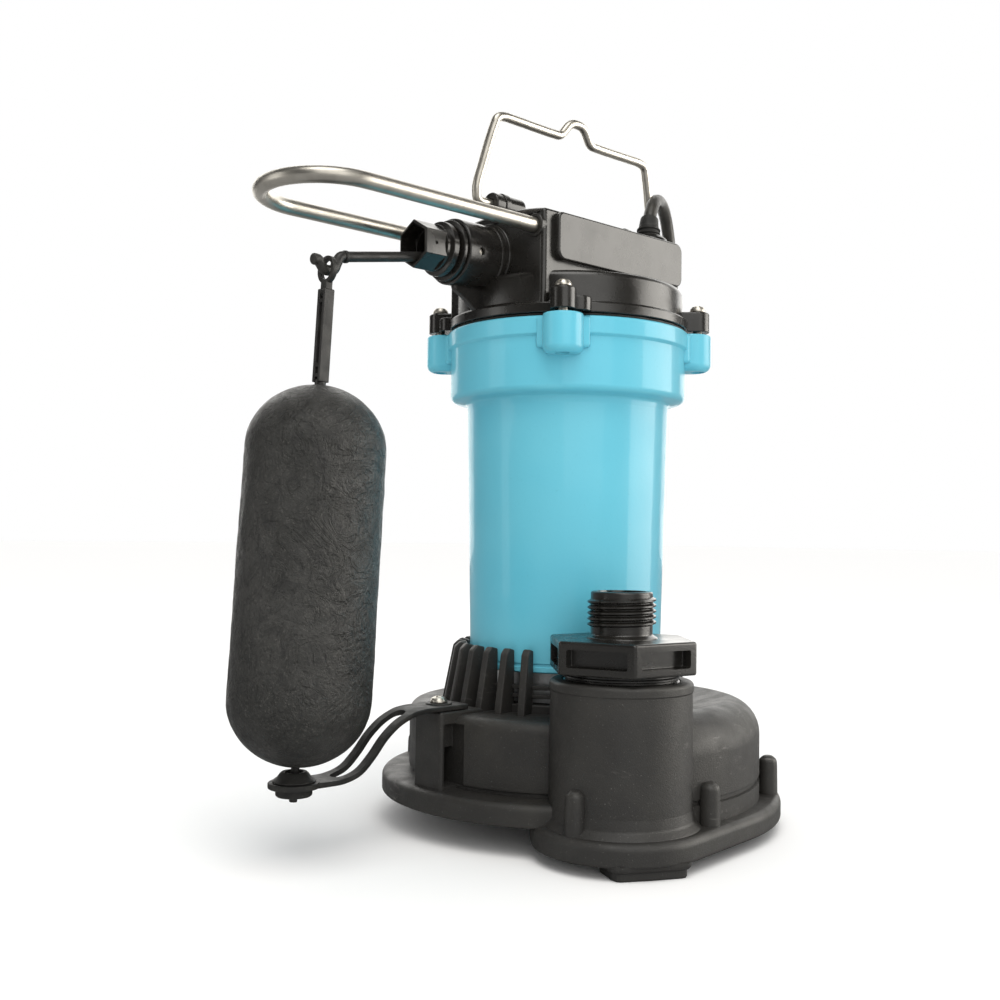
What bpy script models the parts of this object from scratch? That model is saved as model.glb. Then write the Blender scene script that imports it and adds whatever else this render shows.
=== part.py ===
"""Submersible sump pump with a vertical float switch.

Frame: +Z up, Z = 0 at the soles of the feet.  Every size below is in
millimetres, counted from the motor's axis, where X = Y = 0 while the pieces
are made; the last step moves the whole pump so that its origin is at the
bottom centre of its box.  The switch barrel, guard hoop, lever and float
point along -X, and the flat panel of the top cover faces -Y.
"""

import math

import bmesh
import bpy
from mathutils import Matrix, Vector

MM = 0.001
GAP = 0.3                      # clearance between touching pieces
ROUND = 32                     # sides of a large turned piece
SMALL = 10                     # sides of a small turned piece
BOX_CENTRE = (-35.448, -8.681)   # the middle of the pump's box, seen from the motor's axis

# motor housing
TUBE_FOOT_R = 43.1
TUBE_HEAD_R = 45.6
TUBE_BORE_R = 40.3
TUBE_FOOT_Z = 68.0
BAND_R = 53.4
BAND_Z = 186.5
LIP_R = 54.8
LIP_Z = 209.3
HOUSING_TOP_Z = 217.3
EAR_R = 65.0
EAR_WIDTH = 17.0
EAR_Z = 200.6
EAR_TURN = -138.0              # degrees, the first of four ears
SCREW_CIRCLE_R = 59.0

# top cover
RIM_R = 54.4
RIM_TOP_Z = 222.6
DRUM_R = 52.0
DRUM_TOP_Z = 237.0
BOX_LEFT = -46.0
BOX_RIGHT = 44.0
BOX_HALF_DEPTH = 30.0
BOX_TOP_Z = 262.4
BOX_CROWN = 3.0
COVER_WALL = 4.0
PAD_X = (-40.0, 42.0)
PAD_Z = (241.3, 261.6)
PAD_PROUD = 3.0

# switch barrel, nut, lever
SWITCH_Y = 4.0
BARREL_Z = 245.5
BARREL_R = 14.0
BARREL_BORE_R = 10.6
BARREL_MOUTH_X = -68.5
NUT_FLATS = 17.6
NUT_X = (-88.0, -76.8)
NUT_BORE_R = 7.3
NUT_MOUTH = (-80.0, 8.35)      # where the bore widens, and its radius there
PIVOT_X = -62.0
PIVOT_Z = 244.4
LEVER_DROOP = 9.8              # degrees below level at rest
LEVER_ROD_R = 2.1
FINGER_X = -60.0
FINGER_TOP_Z = 250.2
PLUNGER_Z = 249.4
PLUNGER_R = 1.3
EYE_X = -129.8
EYE_Z = 227.6

# float
FLOAT_LEAN = 3.3               # degrees, bottom outward
FLOAT_R = 27.2
FLOAT_TOP_S = 45.2             # distances down the float rod from its eye
FLOAT_FOOT_S = 190.0
ROD_TIP_S = 203.0

# guide strap
STRAP_HALF_WIDTH = 8.0
STRAP_THICK = 2.0
STRAP_END = (-141.2, 31.4)
STRAP_HINGE = (-84.0, 55.3)

# base
LOWER_FLANGE_R = 96.0
LOWER_FLANGE_Z = (5.0, 14.0)
UPPER_FLANGE_R = 82.0
UPPER_FLANGE_Z = (12.5, 21.5)
VOLUTE_TOP_Z = 51.5
VOLUTE_WALL = 4.0
VOLUTE_SIDES = 40
VOLUTE_START = 100.0           # degrees, where the scroll starts to open
VOLUTE_SWEEP = 205.0
WALL_R = (70.0, 91.0)
DISCHARGE = (-35.8, -65.5)
DISCHARGE_R = 28.0
DISCHARGE_BORE_R = 23.4
DISCHARGE_TOP_Z = 69.7
LOBE_R = 35.0
FIN_COUNT = 32
FIN_THICK = 3.4
FIN_CLEAR = 31.0               # degrees each side of the discharge left without fins
BRACKET_X = (-77.0, -54.0)
BRACKET_Y = (-4.8, 12.8)
BRACKET_TOP_Z = 53.0
STRAP_SCREW_X = -71.0
FEET = ((-118.0, 106.5, 14.0), (-20.0, 94.5, 7.0), (95.0, 81.5, 10.5))    # angle, outer radius, depth
FOOT_WIDTH = 30.0
PLATE_Z = (10.0, 12.2)         # the inlet plate, in a recess under the volute
RECESS_TOP_Z = 12.5
BOSS_TOP_Z = 30.5
SCREW_HEAD_DEEP = 2.4          # how far the screw heads sit in their flange
MOTOR_SCREW_R = 32.0

# hose adapter
HEX_CORNER_R = 30.7
HEX_Z = (73.0, 85.9)
HEX_TURN = -129.1
NIPPLE_R = 12.2
THREAD_R = 13.5
THREAD_PITCH = 2.21
NIPPLE_TOP_Z = 104.2
ADAPTER_BORE_R = 9.5

# guard hoop and handle
HOOP_R = 3.15
HOOP_Z = 255.6
HOOP_Y = (-25.0, 25.4)
HOOP_BEND_X = -133.0
HANDLE_WIRE_R = 2.0
HANDLE_FOOT = 57.0
HANDLE_CORNER = 48.5
HANDLE_PIVOT_Z = 269.0
HANDLE_BAR_Z = 306.5
HANDLE_HUMP = 7.0
HANDLE_LEAN = 5.0              # the bar stands this far towards -Y

# cord, and its plug, which lies across the coil
CORD_R = 3.1
RELIEF = (33.5, -19.5)
COIL_CENTRE = (99.6, 112.8)
COIL_MID_R = 35.0
COIL_HALF_WIDTH = 9.5
COIL_Z = (0.2, 25.0)
TAIL_R = 27.0                  # bend of the cord's last half turn, on top of the coil
TAIL_STARTS = 239.0            # degrees round the coil
TAIL_BENDS = 194.0
TAIL_STRAIGHT = 4.0            # from the bend's end to the plug's sleeve
PLUG_TURN = -46.0              # degrees, the way the plug points
PLUG_Z = 37.0
SLEEVE_LENGTH = 22.0
PLUG_LENGTH = 58.0             # sleeve and body
PLUG_HALF = (12.0, 11.5)       # half width and half height
BLADE_SPACING = 12.7
BLADE = (17.0, 1.5, 6.3)       # length out of the body, thickness, width
BLADE_LIFT = 4.4
PIN_DROP = 7.0
PIN = (20.0, 2.4)              # length out of the body, radius
BLADE_ROOT = 6.0               # how far the blades and the pin sit in the body

BLUE = ("housing_blue", (0.18, 0.53, 0.66), 0.28, 0.0)
BLACK = ("cover_black", (0.022, 0.021, 0.02), 0.32, 0.0)
CHARCOAL = ("base_charcoal", (0.045, 0.043, 0.042), 0.55, 0.0)
RUBBER = ("rubber", (0.018, 0.018, 0.018), 0.7, 0.0)
FOAM = ("float_foam", (0.02, 0.02, 0.019), 0.6, 0.0)
STAINLESS = ("stainless", (0.62, 0.59, 0.55), 0.25, 1.0)
STEEL = ("steel", (0.45, 0.45, 0.46), 0.35, 1.0)
CORE = ("lamination_steel", (0.25, 0.25, 0.26), 0.5, 1.0)
COPPER = ("copper", (0.72, 0.34, 0.16), 0.35, 1.0)
CAST = ("cast_aluminium", (0.55, 0.56, 0.57), 0.4, 1.0)
BRASS = ("brass", (0.75, 0.6, 0.28), 0.3, 1.0)
PLASTIC = ("engineering_plastic", (0.1, 0.1, 0.11), 0.5, 0.0)


# ---------------------------------------------------------------- helpers

def clear_scene():
    for obj in list(bpy.data.objects):
        bpy.data.objects.remove(obj, do_unlink=True)


def material(spec):
    name, rgb, roughness, metallic = spec
    mat = bpy.data.materials.get(name)
    if mat:
        return mat
    mat = bpy.data.materials.new(name)
    mat.use_nodes = True
    mat.diffuse_color = (*rgb, 1.0)
    shader = mat.node_tree.nodes["Principled BSDF"]
    shader.inputs["Base Color"].default_value = (*rgb, 1.0)
    shader.inputs["Roughness"].default_value = roughness
    shader.inputs["Metallic"].default_value = metallic
    return mat


def polar(radius, degrees):
    angle = math.radians(degrees)
    return radius * math.cos(angle), radius * math.sin(angle)


def circle(radius, sides, centre=(0.0, 0.0), turn=0.0):
    points = []
    for i in range(sides):
        x, y = polar(radius, turn + 360.0 * i / sides)
        points.append((centre[0] + x, centre[1] + y))
    return points


def arc(radius, start, end, steps, centre=(0.0, 0.0)):
    points = []
    for i in range(steps + 1):
        x, y = polar(radius, start + (end - start) * i / steps)
        points.append((centre[0] + x, centre[1] + y))
    return points


def make_object(name, bm, spec):
    """A mesh in millimetres becomes a named object in metres."""
    bmesh.ops.remove_doubles(bm, verts=bm.verts, dist=1e-5)
    bmesh.ops.recalc_face_normals(bm, faces=bm.faces)
    bmesh.ops.transform(bm, matrix=Matrix.Scale(MM, 4), verts=bm.verts)
    mesh = bpy.data.meshes.new(name)
    bm.to_mesh(mesh)
    bm.free()
    obj = bpy.data.objects.new(name, mesh)
    bpy.context.scene.collection.objects.link(obj)
    mesh.materials.append(material(spec))
    return obj


def add_loft(bm, rings):
    """Rings of 3-D points with the same count are bridged in turn and capped."""
    rows = [[bm.verts.new(p) for p in ring] for ring in rings]
    count = len(rows[0])
    for low, high in zip(rows, rows[1:]):
        for i in range(count):
            j = (i + 1) % count
            bm.faces.new((low[i], low[j], high[j], high[i]))
    bm.faces.new(rows[0])
    bm.faces.new(rows[-1])


def loft(name, rings, spec):
    bm = bmesh.new()
    add_loft(bm, rings)
    return make_object(name, bm, spec)


def prism(name, outline, low, high, spec, plane="XY"):
    """An outline is extruded square to its plane, from low to high."""
    place = {
        "XY": lambda a, b, h: (a, b, h),
        "XZ": lambda a, b, h: (a, h, b),
        "YZ": lambda a, b, h: (h, a, b),
    }[plane]
    rings = [[place(a, b, h) for a, b in outline] for h in (low, high)]
    return loft(name, rings, spec)


def lathe(name, profile, spec, sides=ROUND, at=(0.0, 0.0, 0.0), axis="Z"):
    """A profile of (radius, height) is turned.  One that starts and ends on
    the axis makes a solid; any other is a closed loop and makes a ring."""
    bm = bmesh.new()
    solid = profile[0][0] < 1e-6 and profile[-1][0] < 1e-6
    rows = []
    for radius, height in profile:
        if radius < 1e-6:
            rows.append([bm.verts.new((0, 0, height))])
        else:
            ring = circle(radius, sides)
            rows.append([bm.verts.new((x, y, height)) for x, y in ring])
    pairs = list(zip(rows, rows[1:]))
    if not solid:
        pairs.append((rows[-1], rows[0]))
    for a, b in pairs:
        for i in range(sides):
            j = (i + 1) % sides
            corners = [a[i % len(a)], a[j % len(a)], b[j % len(b)], b[i % len(b)]]
            face = list(dict.fromkeys(corners))
            if len(face) > 2:
                bm.faces.new(face)
    if axis == "X":
        bmesh.ops.transform(bm, matrix=Matrix.Rotation(math.radians(90), 4, "Y"), verts=bm.verts)
    if axis == "Y":
        bmesh.ops.transform(bm, matrix=Matrix.Rotation(math.radians(-90), 4, "X"), verts=bm.verts)
    bmesh.ops.translate(bm, vec=Vector(at), verts=bm.verts)
    return make_object(name, bm, spec)


def cylinder(name, radius, low, high, spec, at=(0.0, 0.0), sides=SMALL):
    return lathe(name, [(0, high), (radius, high), (radius, low), (0, low)], spec, sides, (*at, 0.0))


def ring(name, inner, outer, low, high, spec, at=(0.0, 0.0), sides=ROUND):
    profile = [(outer, high), (outer, low), (inner, low), (inner, high)]
    return lathe(name, profile, spec, sides, (*at, 0.0))


def rod(name, radius, start, end, spec, sides=SMALL):
    """A round bar between two points."""
    bm = bmesh.new()
    start, end = Vector(start), Vector(end)
    turn = (end - start).to_track_quat("Z", "Y").to_matrix().to_4x4()
    length = (end - start).length
    rings = [[(x, y, h) for x, y in circle(radius, sides)] for h in (0.0, length)]
    add_loft(bm, rings)
    bmesh.ops.transform(bm, matrix=Matrix.Translation(start) @ turn, verts=bm.verts)
    return make_object(name, bm, spec)


def block(name, low, high, spec):
    outline = [(low[0], low[1]), (high[0], low[1]), (high[0], high[1]), (low[0], high[1])]
    return prism(name, outline, low[2], high[2], spec)


def wire(name, points, radius, spec, resolution=2):
    """A round wire along points, as a poly curve with a bevel."""
    curve = bpy.data.curves.new(name, "CURVE")
    curve.dimensions = "3D"
    curve.bevel_depth = radius * MM
    curve.bevel_resolution = resolution
    curve.render_resolution_u = 0
    curve.use_fill_caps = True
    spline = curve.splines.new("POLY")
    spline.points.add(len(points) - 1)
    for point, co in zip(spline.points, points):
        point.co = (co[0] * MM, co[1] * MM, co[2] * MM, 1.0)
    curve.materials.append(material(spec))
    obj = bpy.data.objects.new(name, curve)
    bpy.context.scene.collection.objects.link(obj)
    return obj


def as_mesh(name, curve):
    """A mesh object takes a curve's place, so that Booleans can work on it."""
    graph = bpy.context.evaluated_depsgraph_get()
    mesh = bpy.data.meshes.new_from_object(curve.evaluated_get(graph))
    bpy.data.objects.remove(curve, do_unlink=True)
    obj = bpy.data.objects.new(name, mesh)
    bpy.context.scene.collection.objects.link(obj)
    return obj


def is_closed(mesh):
    bm = bmesh.new()
    bm.from_mesh(mesh)
    closed = all(len(edge.link_faces) == 2 for edge in bm.edges)
    bm.free()
    return closed


def combine(obj, tools, operation):
    """Each tool is added to, or cut from, the object's mesh and then removed.
    MANIFOLD takes over where EXACT leaves an open edge."""
    for tool in tools:
        modifier = obj.modifiers.new("combine", "BOOLEAN")
        modifier.operation = operation
        modifier.object = tool
        for solver in ("EXACT", "MANIFOLD"):
            modifier.solver = solver
            graph = bpy.context.evaluated_depsgraph_get()
            mesh = bpy.data.meshes.new_from_object(obj.evaluated_get(graph))
            if is_closed(mesh):
                break
        obj.modifiers.remove(modifier)
        obj.data = mesh
        bpy.data.objects.remove(tool, do_unlink=True)


def cut(obj, *tools):
    combine(obj, tools, "DIFFERENCE")


def unite(obj, *tools):
    combine(obj, tools, "UNION")


def merge_meshes(name, pieces, spec):
    """Separate, non-touching tools are gathered in one mesh for one cut or union."""
    bm = bmesh.new()
    for piece in pieces:
        bm.from_mesh(piece.data)
        bpy.data.objects.remove(piece, do_unlink=True)
    bmesh.ops.transform(bm, matrix=Matrix.Scale(1.0 / MM, 4), verts=bm.verts)
    return make_object(name, bm, spec)


def set_origin(obj, point):
    """The object's origin moves to a point in millimetres; its mesh stays put."""
    offset = Vector(point) * MM
    obj.data.transform(Matrix.Translation(-offset))
    obj.location = offset


def shade(obj):
    if obj.type == "MESH":
        obj.data.shade_smooth()
        obj.data.set_sharp_from_angle(angle=math.radians(32))


def smooth_path(points, spacing):
    """A Catmull-Rom curve through the points, sampled at an even spacing."""
    dense = []
    padded = [points[0], *points, points[-1]]
    for i in range(1, len(padded) - 2):
        p0, p1, p2, p3 = (Vector(p) for p in padded[i - 1:i + 3])
        for k in range(12):
            t = k / 12
            dense.append(0.5 * (2 * p1 + (p2 - p0) * t + (2 * p0 - 5 * p1 + 4 * p2 - p3) * t * t
                                + (3 * p1 - p0 - 3 * p2 + p3) * t ** 3))
    dense.append(Vector(points[-1]))
    steps = [0.0]
    for a, b in zip(dense, dense[1:]):
        steps.append(steps[-1] + (b - a).length)
    count = max(2, round(steps[-1] / spacing))
    path = []
    i = 0
    for k in range(count + 1):
        want = steps[-1] * k / count
        while i < len(steps) - 2 and steps[i + 1] < want:
            i += 1
        share = (want - steps[i]) / max(steps[i + 1] - steps[i], 1e-9)
        path.append(dense[i].lerp(dense[i + 1], share))
    return path


def convex_hull(points):
    points = sorted(set(points))
    halves = []
    for order in (points, points[::-1]):
        half = []
        for p in order:
            while len(half) > 1 and turn_of(half[-2], half[-1], p) <= 0:
                half.pop()
            half.append(p)
        halves.append(half[:-1])
    return halves[0] + halves[1]


def turn_of(a, b, c):
    return (b[0] - a[0]) * (c[1] - a[1]) - (b[1] - a[1]) * (c[0] - a[0])


def inset_outline(outline, amount):
    """Each corner of an outline moves inward along the mean of its edge normals."""
    moved = []
    count = len(outline)
    for i, (x, y) in enumerate(outline):
        ax, ay = outline[i - 1]
        bx, by = outline[(i + 1) % count]
        direction = Vector((bx - ax, by - ay)).normalized()
        moved.append((x - direction.y * amount, y + direction.x * amount))
    return moved


def plate(name, outline, low, high, edge, spec):
    """An extruded outline, counter-clockwise, with a chamfer round its top."""
    rings = [[(x, y, low) for x, y in outline], [(x, y, high - edge) for x, y in outline]]
    rings.append([(x, y, high) for x, y in inset_outline(outline, edge)])
    return loft(name, rings, spec)


# ---------------------------------------------------------------- motor

def ear_angles():
    return [EAR_TURN + 90.0 * i for i in range(4)]


def ear_outline(degrees, inner, outer, width):
    """A tab that runs out from the motor axis and ends in a half round."""
    half = width / 2
    tab = [(inner, -half), (outer - half, -half)]
    tab += arc(half, -90, 90, 6, (outer - half, 0.0))[1:-1]
    tab += [(outer - half, half), (inner, half)]
    c, s = polar(1.0, degrees)
    return [(x * c - y * s, x * s + y * c) for x, y in tab]


def motor_housing():
    profile = [
        (LIP_R - 0.8, HOUSING_TOP_Z), (LIP_R, HOUSING_TOP_Z - 0.8), (LIP_R, LIP_Z + 1.0),
        (BAND_R + 0.3, LIP_Z), (BAND_R, LIP_Z - 1.5), (BAND_R - 0.2, BAND_Z + 4.5),
        (BAND_R - 1.4, BAND_Z + 1.3), (BAND_R - 4.0, BAND_Z), (TUBE_HEAD_R + 0.4, BAND_Z - 1.2),
        (TUBE_HEAD_R, BAND_Z - 3.0), (TUBE_FOOT_R, TUBE_FOOT_Z + 0.5), (TUBE_FOOT_R - 0.5, TUBE_FOOT_Z),
        (TUBE_BORE_R, TUBE_FOOT_Z), (TUBE_BORE_R, HOUSING_TOP_Z),
    ]
    housing = lathe("motor_housing", profile, BLUE, 36)
    for i, degrees in enumerate(ear_angles()):
        outline = ear_outline(degrees, TUBE_HEAD_R + 4.0, EAR_R, EAR_WIDTH)
        ear = plate(f"ear_{i}", outline, EAR_Z, HOUSING_TOP_Z, 0.8, BLUE)
        unite(housing, ear)
    holes = []
    for degrees in ear_angles():
        at = polar(SCREW_CIRCLE_R, degrees)
        holes.append(cylinder("hole", 2.5, EAR_Z - 1, HOUSING_TOP_Z + 1, BLUE, at, 10))
    cut(housing, merge_meshes("holes", holes, BLUE))
    return housing


def cover_fasteners():
    ring("cover_gasket", 42.5, 53.4, HOUSING_TOP_Z + GAP, HOUSING_TOP_Z + 1.0, RUBBER)
    head_z = RIM_TOP_Z + 5.3
    for i, degrees in enumerate(ear_angles()):
        profile = [
            (0, head_z + 3.1), (1.6, head_z + 3.0), (3.0, head_z + 2.2), (3.6, head_z + 1.0),
            (3.6, head_z), (2.1, head_z), (2.1, EAR_Z + 3.4), (1.2, EAR_Z + 2.4), (0, EAR_Z + 2.4),
        ]
        at = polar(SCREW_CIRCLE_R, degrees)
        lathe(f"cover_screw_{i + 1}", profile, STAINLESS, SMALL, (*at, 0.0))


def motor_internals():
    ring("stator_core", 26.8, 40.0, 100.0, 165.0, CORE, sides=20)
    ring("winding_lower", 28.5, 38.0, 86.0, 99.7, COPPER, sides=16)
    ring("winding_upper", 28.5, 38.0, 165.3, 180.0, COPPER, sides=16)
    ring("rotor", 5.3, 25.9, 102.0, 163.0, STEEL, sides=20)
    profile = [(0, 198.0), (5.0, 198.0), (5.0, 24.0), (3.4, 23.5), (3.4, 10.5), (0, 10.5)]
    lathe("motor_shaft", profile, STAINLESS, SMALL)
    ring("upper_bearing", 5.3, 11.0, 189.0, 197.0, STEEL, sides=12)
    ring("lower_bearing", 5.3, 11.0, 74.0, 82.0, STEEL, sides=12)
    upper = [
        (40.0, 186.0), (40.0, 182.5), (8.0, 182.5), (8.0, 188.7), (11.4, 188.7), (11.4, 198.0),
        (14.5, 198.0), (14.5, 186.0),
    ]
    lathe("upper_bearing_plate", upper, CAST, 20)
    lower = [
        (40.0, 74.0), (40.0, 67.7), (42.2, 67.7), (42.2, 55.4), (10.9, 55.4), (10.9, 62.0), (8.0, 62.0),
        (8.0, 73.7), (11.4, 73.7), (11.4, 82.5), (14.5, 82.5), (14.5, 74.0),
    ]
    lathe("lower_bearing_plate", lower, CAST, 20)
    ring("shaft_seal", 5.3, 10.3, 55.8, 61.7, RUBBER, sides=12)


# ---------------------------------------------------------------- top cover

def box_outline(inset):
    """The crowned cross-section of the cover's box, as (y, z)."""
    half = BOX_HALF_DEPTH - inset
    low = RIM_TOP_Z - 1.5
    points = [(-half, low), (half, low)]
    for i in range(7):
        share = i / 6
        y = half * (1 - 2 * share)
        corner = 1.4 if i in (0, 6) else 0.0
        crown = BOX_CROWN * (1 - (2 * share - 1) ** 2)
        points.append((y, BOX_TOP_Z - inset + crown - corner))
    return points


def cover_shell():
    shell = lathe("top_cover", [
        (0, DRUM_TOP_Z), (DRUM_R - 3.0, DRUM_TOP_Z), (DRUM_R - 0.9, DRUM_TOP_Z - 0.9),
        (DRUM_R, DRUM_TOP_Z - 3.0), (DRUM_R, RIM_TOP_Z + 0.4), (RIM_R - 0.5, RIM_TOP_Z),
        (RIM_R, RIM_TOP_Z - 0.6), (RIM_R, HOUSING_TOP_Z + 1.3), (0, HOUSING_TOP_Z + 1.3),
    ], BLACK, 36)
    unite(shell, prism("box", box_outline(0.0), BOX_LEFT, BOX_RIGHT, BLACK, "YZ"))
    pad = [
        (PAD_X[0], PAD_Z[0] + 2), (PAD_X[0] + 2, PAD_Z[0]), (PAD_X[1], PAD_Z[0]),
        (PAD_X[1], PAD_Z[1] - 2), (PAD_X[1] - 2, PAD_Z[1]), (PAD_X[0], PAD_Z[1]),
    ]
    front = -BOX_HALF_DEPTH
    unite(shell, prism("pad", pad, front - PAD_PROUD, front + 1.0, BLACK, "XZ"))
    return shell


def cover_barrel(shell):
    low, high = BARREL_MOUTH_X, BOX_LEFT + 2.0
    profile = [(0, high), (BARREL_R + 0.5, high), (BARREL_R + 0.5, BOX_LEFT - 1.2),
               (BARREL_R, BOX_LEFT - 1.6), (BARREL_R, low + 0.6), (BARREL_R - 0.6, low), (0, low)]
    unite(shell, lathe("barrel", profile, BLACK, 28, (0, SWITCH_Y, BARREL_Z), "X"))
    web = [(-66.0, BARREL_Z - 12), (-66.0, 229.0), (-57.0, 224.6), (-50.0, 219.5),
           (-45.0, 219.5), (-45.0, BARREL_Z - 12)]
    unite(shell, prism("gusset", web, SWITCH_Y - 1.4, SWITCH_Y + 1.4, BLACK, "XZ"))


def cover_bosses(shell):
    for i, degrees in enumerate(ear_angles()):
        outline = ear_outline(degrees, DRUM_R - 3.0, SCREW_CIRCLE_R + 5.3, 10.6)
        unite(shell, plate(f"boss_{i}", outline, HOUSING_TOP_Z + 1.3, RIM_TOP_Z + 5.0, 0.6, BLACK))
    for side in (-1, 1):
        start = (side * 49.0, 0.0, HANDLE_PIVOT_Z)
        end = (side * 32.0, 0.0, HANDLE_PIVOT_Z)
        unite(shell, rod("handle_boss", 5.0, start, end, BLACK, 12))
        base = block("boss_root", (min(side * 45.5, side * 32.5), -4.4, BOX_TOP_Z - 2),
                     (max(side * 45.5, side * 32.5), 4.4, HANDLE_PIVOT_Z), BLACK)
        unite(shell, base)


def cover_cuts(shell):
    inner_low = HOUSING_TOP_Z - 1.0
    cut(shell, cylinder("well", 47.5, inner_low, DRUM_TOP_Z - COVER_WALL, BLACK, sides=28))
    depth = BOX_HALF_DEPTH - COVER_WALL
    cut(shell, block("room", (BOX_LEFT + COVER_WALL, -depth, DRUM_TOP_Z - COVER_WALL - 1),
                     (BOX_RIGHT - COVER_WALL, depth, BOX_TOP_Z - COVER_WALL), BLACK))
    start = (BARREL_MOUTH_X - 1, SWITCH_Y, BARREL_Z)
    end = (BOX_LEFT + COVER_WALL + 1, SWITCH_Y, BARREL_Z)
    cut(shell, rod("bore", BARREL_BORE_R, start, end, BLACK, 20))
    pin_hole = rod("pin_hole", 1.6, (PIVOT_X, SWITCH_Y - 20, PIVOT_Z), (PIVOT_X, SWITCH_Y + 20, PIVOT_Z),
                   BLACK, 12)
    cut(shell, pin_hole)
    for y in HOOP_Y:
        start = (BOX_LEFT - 1.0, y, HOOP_Z)
        end = (BOX_LEFT + 6.0, y, HOOP_Z)
        cut(shell, rod("hoop_hole", HOOP_R + GAP, start, end, BLACK, 12))
    for side in (-1, 1):
        start = (side * 50.0, 0.0, HANDLE_PIVOT_Z)
        end = (side * 36.5, 0.0, HANDLE_PIVOT_Z)
        cut(shell, rod("pivot_hole", HANDLE_WIRE_R + GAP, start, end, BLACK, 12))
    holes = []
    for degrees in ear_angles():
        at = polar(SCREW_CIRCLE_R, degrees)
        holes.append(cylinder("hole", 2.5, HOUSING_TOP_Z - 1, RIM_TOP_Z + 7, BLACK, at, 10))
    cut(shell, merge_meshes("holes", holes, BLACK))
    cut(shell, cylinder("gland_hole", 4.5, BOX_TOP_Z - 8, BOX_TOP_Z + 6, BLACK, RELIEF, 16))


def top_cover():
    shell = cover_shell()
    cover_barrel(shell)
    cover_bosses(shell)
    cover_cuts(shell)
    return shell


def guard_hoop():
    middle = sum(HOOP_Y) / 2
    radius = (HOOP_Y[1] - HOOP_Y[0]) / 2
    inside = BOX_LEFT + 5.5
    path = [(inside, HOOP_Y[1], HOOP_Z), (-90.0, HOOP_Y[1], HOOP_Z)]
    for x, y in arc(radius, 90, 270, 14, (HOOP_BEND_X, middle)):
        path.append((x, y, HOOP_Z))
    path += [(-90.0, HOOP_Y[0], HOOP_Z), (inside, HOOP_Y[0], HOOP_Z)]
    wire("guard_hoop", path, HOOP_R, STAINLESS)


# ---------------------------------------------------------------- switch

def switch_nut():
    """The nut closes the barrel, and a rubber boot in its bore keeps water off the lever."""
    flats = circle(NUT_FLATS / math.sqrt(3), 6, (SWITCH_Y, BARREL_Z), 90)
    nut = prism("switch_nut", flats, NUT_X[0], NUT_X[1], BLACK, "YZ")
    collar = [(0, -69.0), (9.6, -69.0), (9.6, -72.0), (11.4, -72.4), (11.4, -75.0), (9.6, -75.4),
              (9.6, -77.0), (0, -77.0)]
    unite(nut, lathe("collar", collar, BLACK, 18, (0, SWITCH_Y, BARREL_Z), "X"))
    neck = rod("neck", BARREL_BORE_R - 0.5, (-69.5, SWITCH_Y, BARREL_Z), (-65.8, SWITCH_Y, BARREL_Z), BLACK, 18)
    unite(nut, neck)
    cut(nut, rod("through", NUT_BORE_R, (-90, SWITCH_Y, BARREL_Z), (-64, SWITCH_Y, BARREL_Z), BLACK, 18))
    mouth_x, mouth_r = NUT_MOUTH
    cut(nut, rod("mouth", mouth_r, (-90, SWITCH_Y, BARREL_Z), (mouth_x, SWITCH_Y, BARREL_Z), BLACK, 18))
    boot = [(6.9, -71.0), (6.9, -75.5), (6.1, -75.5), (6.1, -71.0)]
    lathe("lever_boot", boot, RUBBER, 18, (0, SWITCH_Y, BARREL_Z), "X")


def lever_point(distance, lift=0.0):
    """A point on the lever's own line, counted outward from its pivot."""
    c, s = polar(1.0, LEVER_DROOP)
    return PIVOT_X - distance * c - lift * s, SWITCH_Y, PIVOT_Z - distance * s + lift * c


def lever_arm():
    reach = 64.0
    path = [lever_point(3.0), lever_point(30.0), lever_point(reach - 1.5), lever_point(reach, -0.4)]
    path += [(-126.6, SWITCH_Y, 229.4), (-127.8, SWITCH_Y, EYE_Z), (-131.6, SWITCH_Y, EYE_Z),
             (-133.0, SWITCH_Y, 229.6), (-134.4, SWITCH_Y, 231.0), (-137.0, SWITCH_Y, 230.8)]
    lever = as_mesh("lever_arm", wire("lever_path", path, LEVER_ROD_R, PLASTIC))
    hub = rod("hub", 3.6, (PIVOT_X, SWITCH_Y - 3.5, PIVOT_Z), (PIVOT_X, SWITCH_Y + 3.5, PIVOT_Z), PLASTIC)
    unite(lever, hub)
    unite(lever, rod("finger", 1.5, (FINGER_X, SWITCH_Y, PIVOT_Z + 1), (FINGER_X, SWITCH_Y, FINGER_TOP_Z),
                     PLASTIC, 12))
    cut(lever, rod("pin_hole", 1.6, (PIVOT_X, SWITCH_Y - 6, PIVOT_Z), (PIVOT_X, SWITCH_Y + 6, PIVOT_Z),
                   PLASTIC, 16))
    set_origin(lever, (PIVOT_X, SWITCH_Y, PIVOT_Z))


def switch_parts():
    half = BARREL_R - 1.4
    rod("lever_pin", 1.3, (PIVOT_X, SWITCH_Y - half, PIVOT_Z), (PIVOT_X, SWITCH_Y + half, PIVOT_Z), STAINLESS, 12)
    tip = FINGER_X + 1.5 + 0.6
    plunger = rod("switch_plunger", PLUNGER_R, (tip, SWITCH_Y, PLUNGER_Z), (-34.0, SWITCH_Y, PLUNGER_Z), PLASTIC, 12)
    set_origin(plunger, (tip, SWITCH_Y, PLUNGER_Z))
    body = block("snap_switch", (-41.4, -4.0, 239.0), (-16.0, 12.0, 255.0), PLASTIC)
    socket = rod("socket", PLUNGER_R + GAP, (-43, SWITCH_Y, PLUNGER_Z), (-30.5, SWITCH_Y, PLUNGER_Z), PLASTIC, 12)
    cut(body, socket)


# ---------------------------------------------------------------- float

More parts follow.
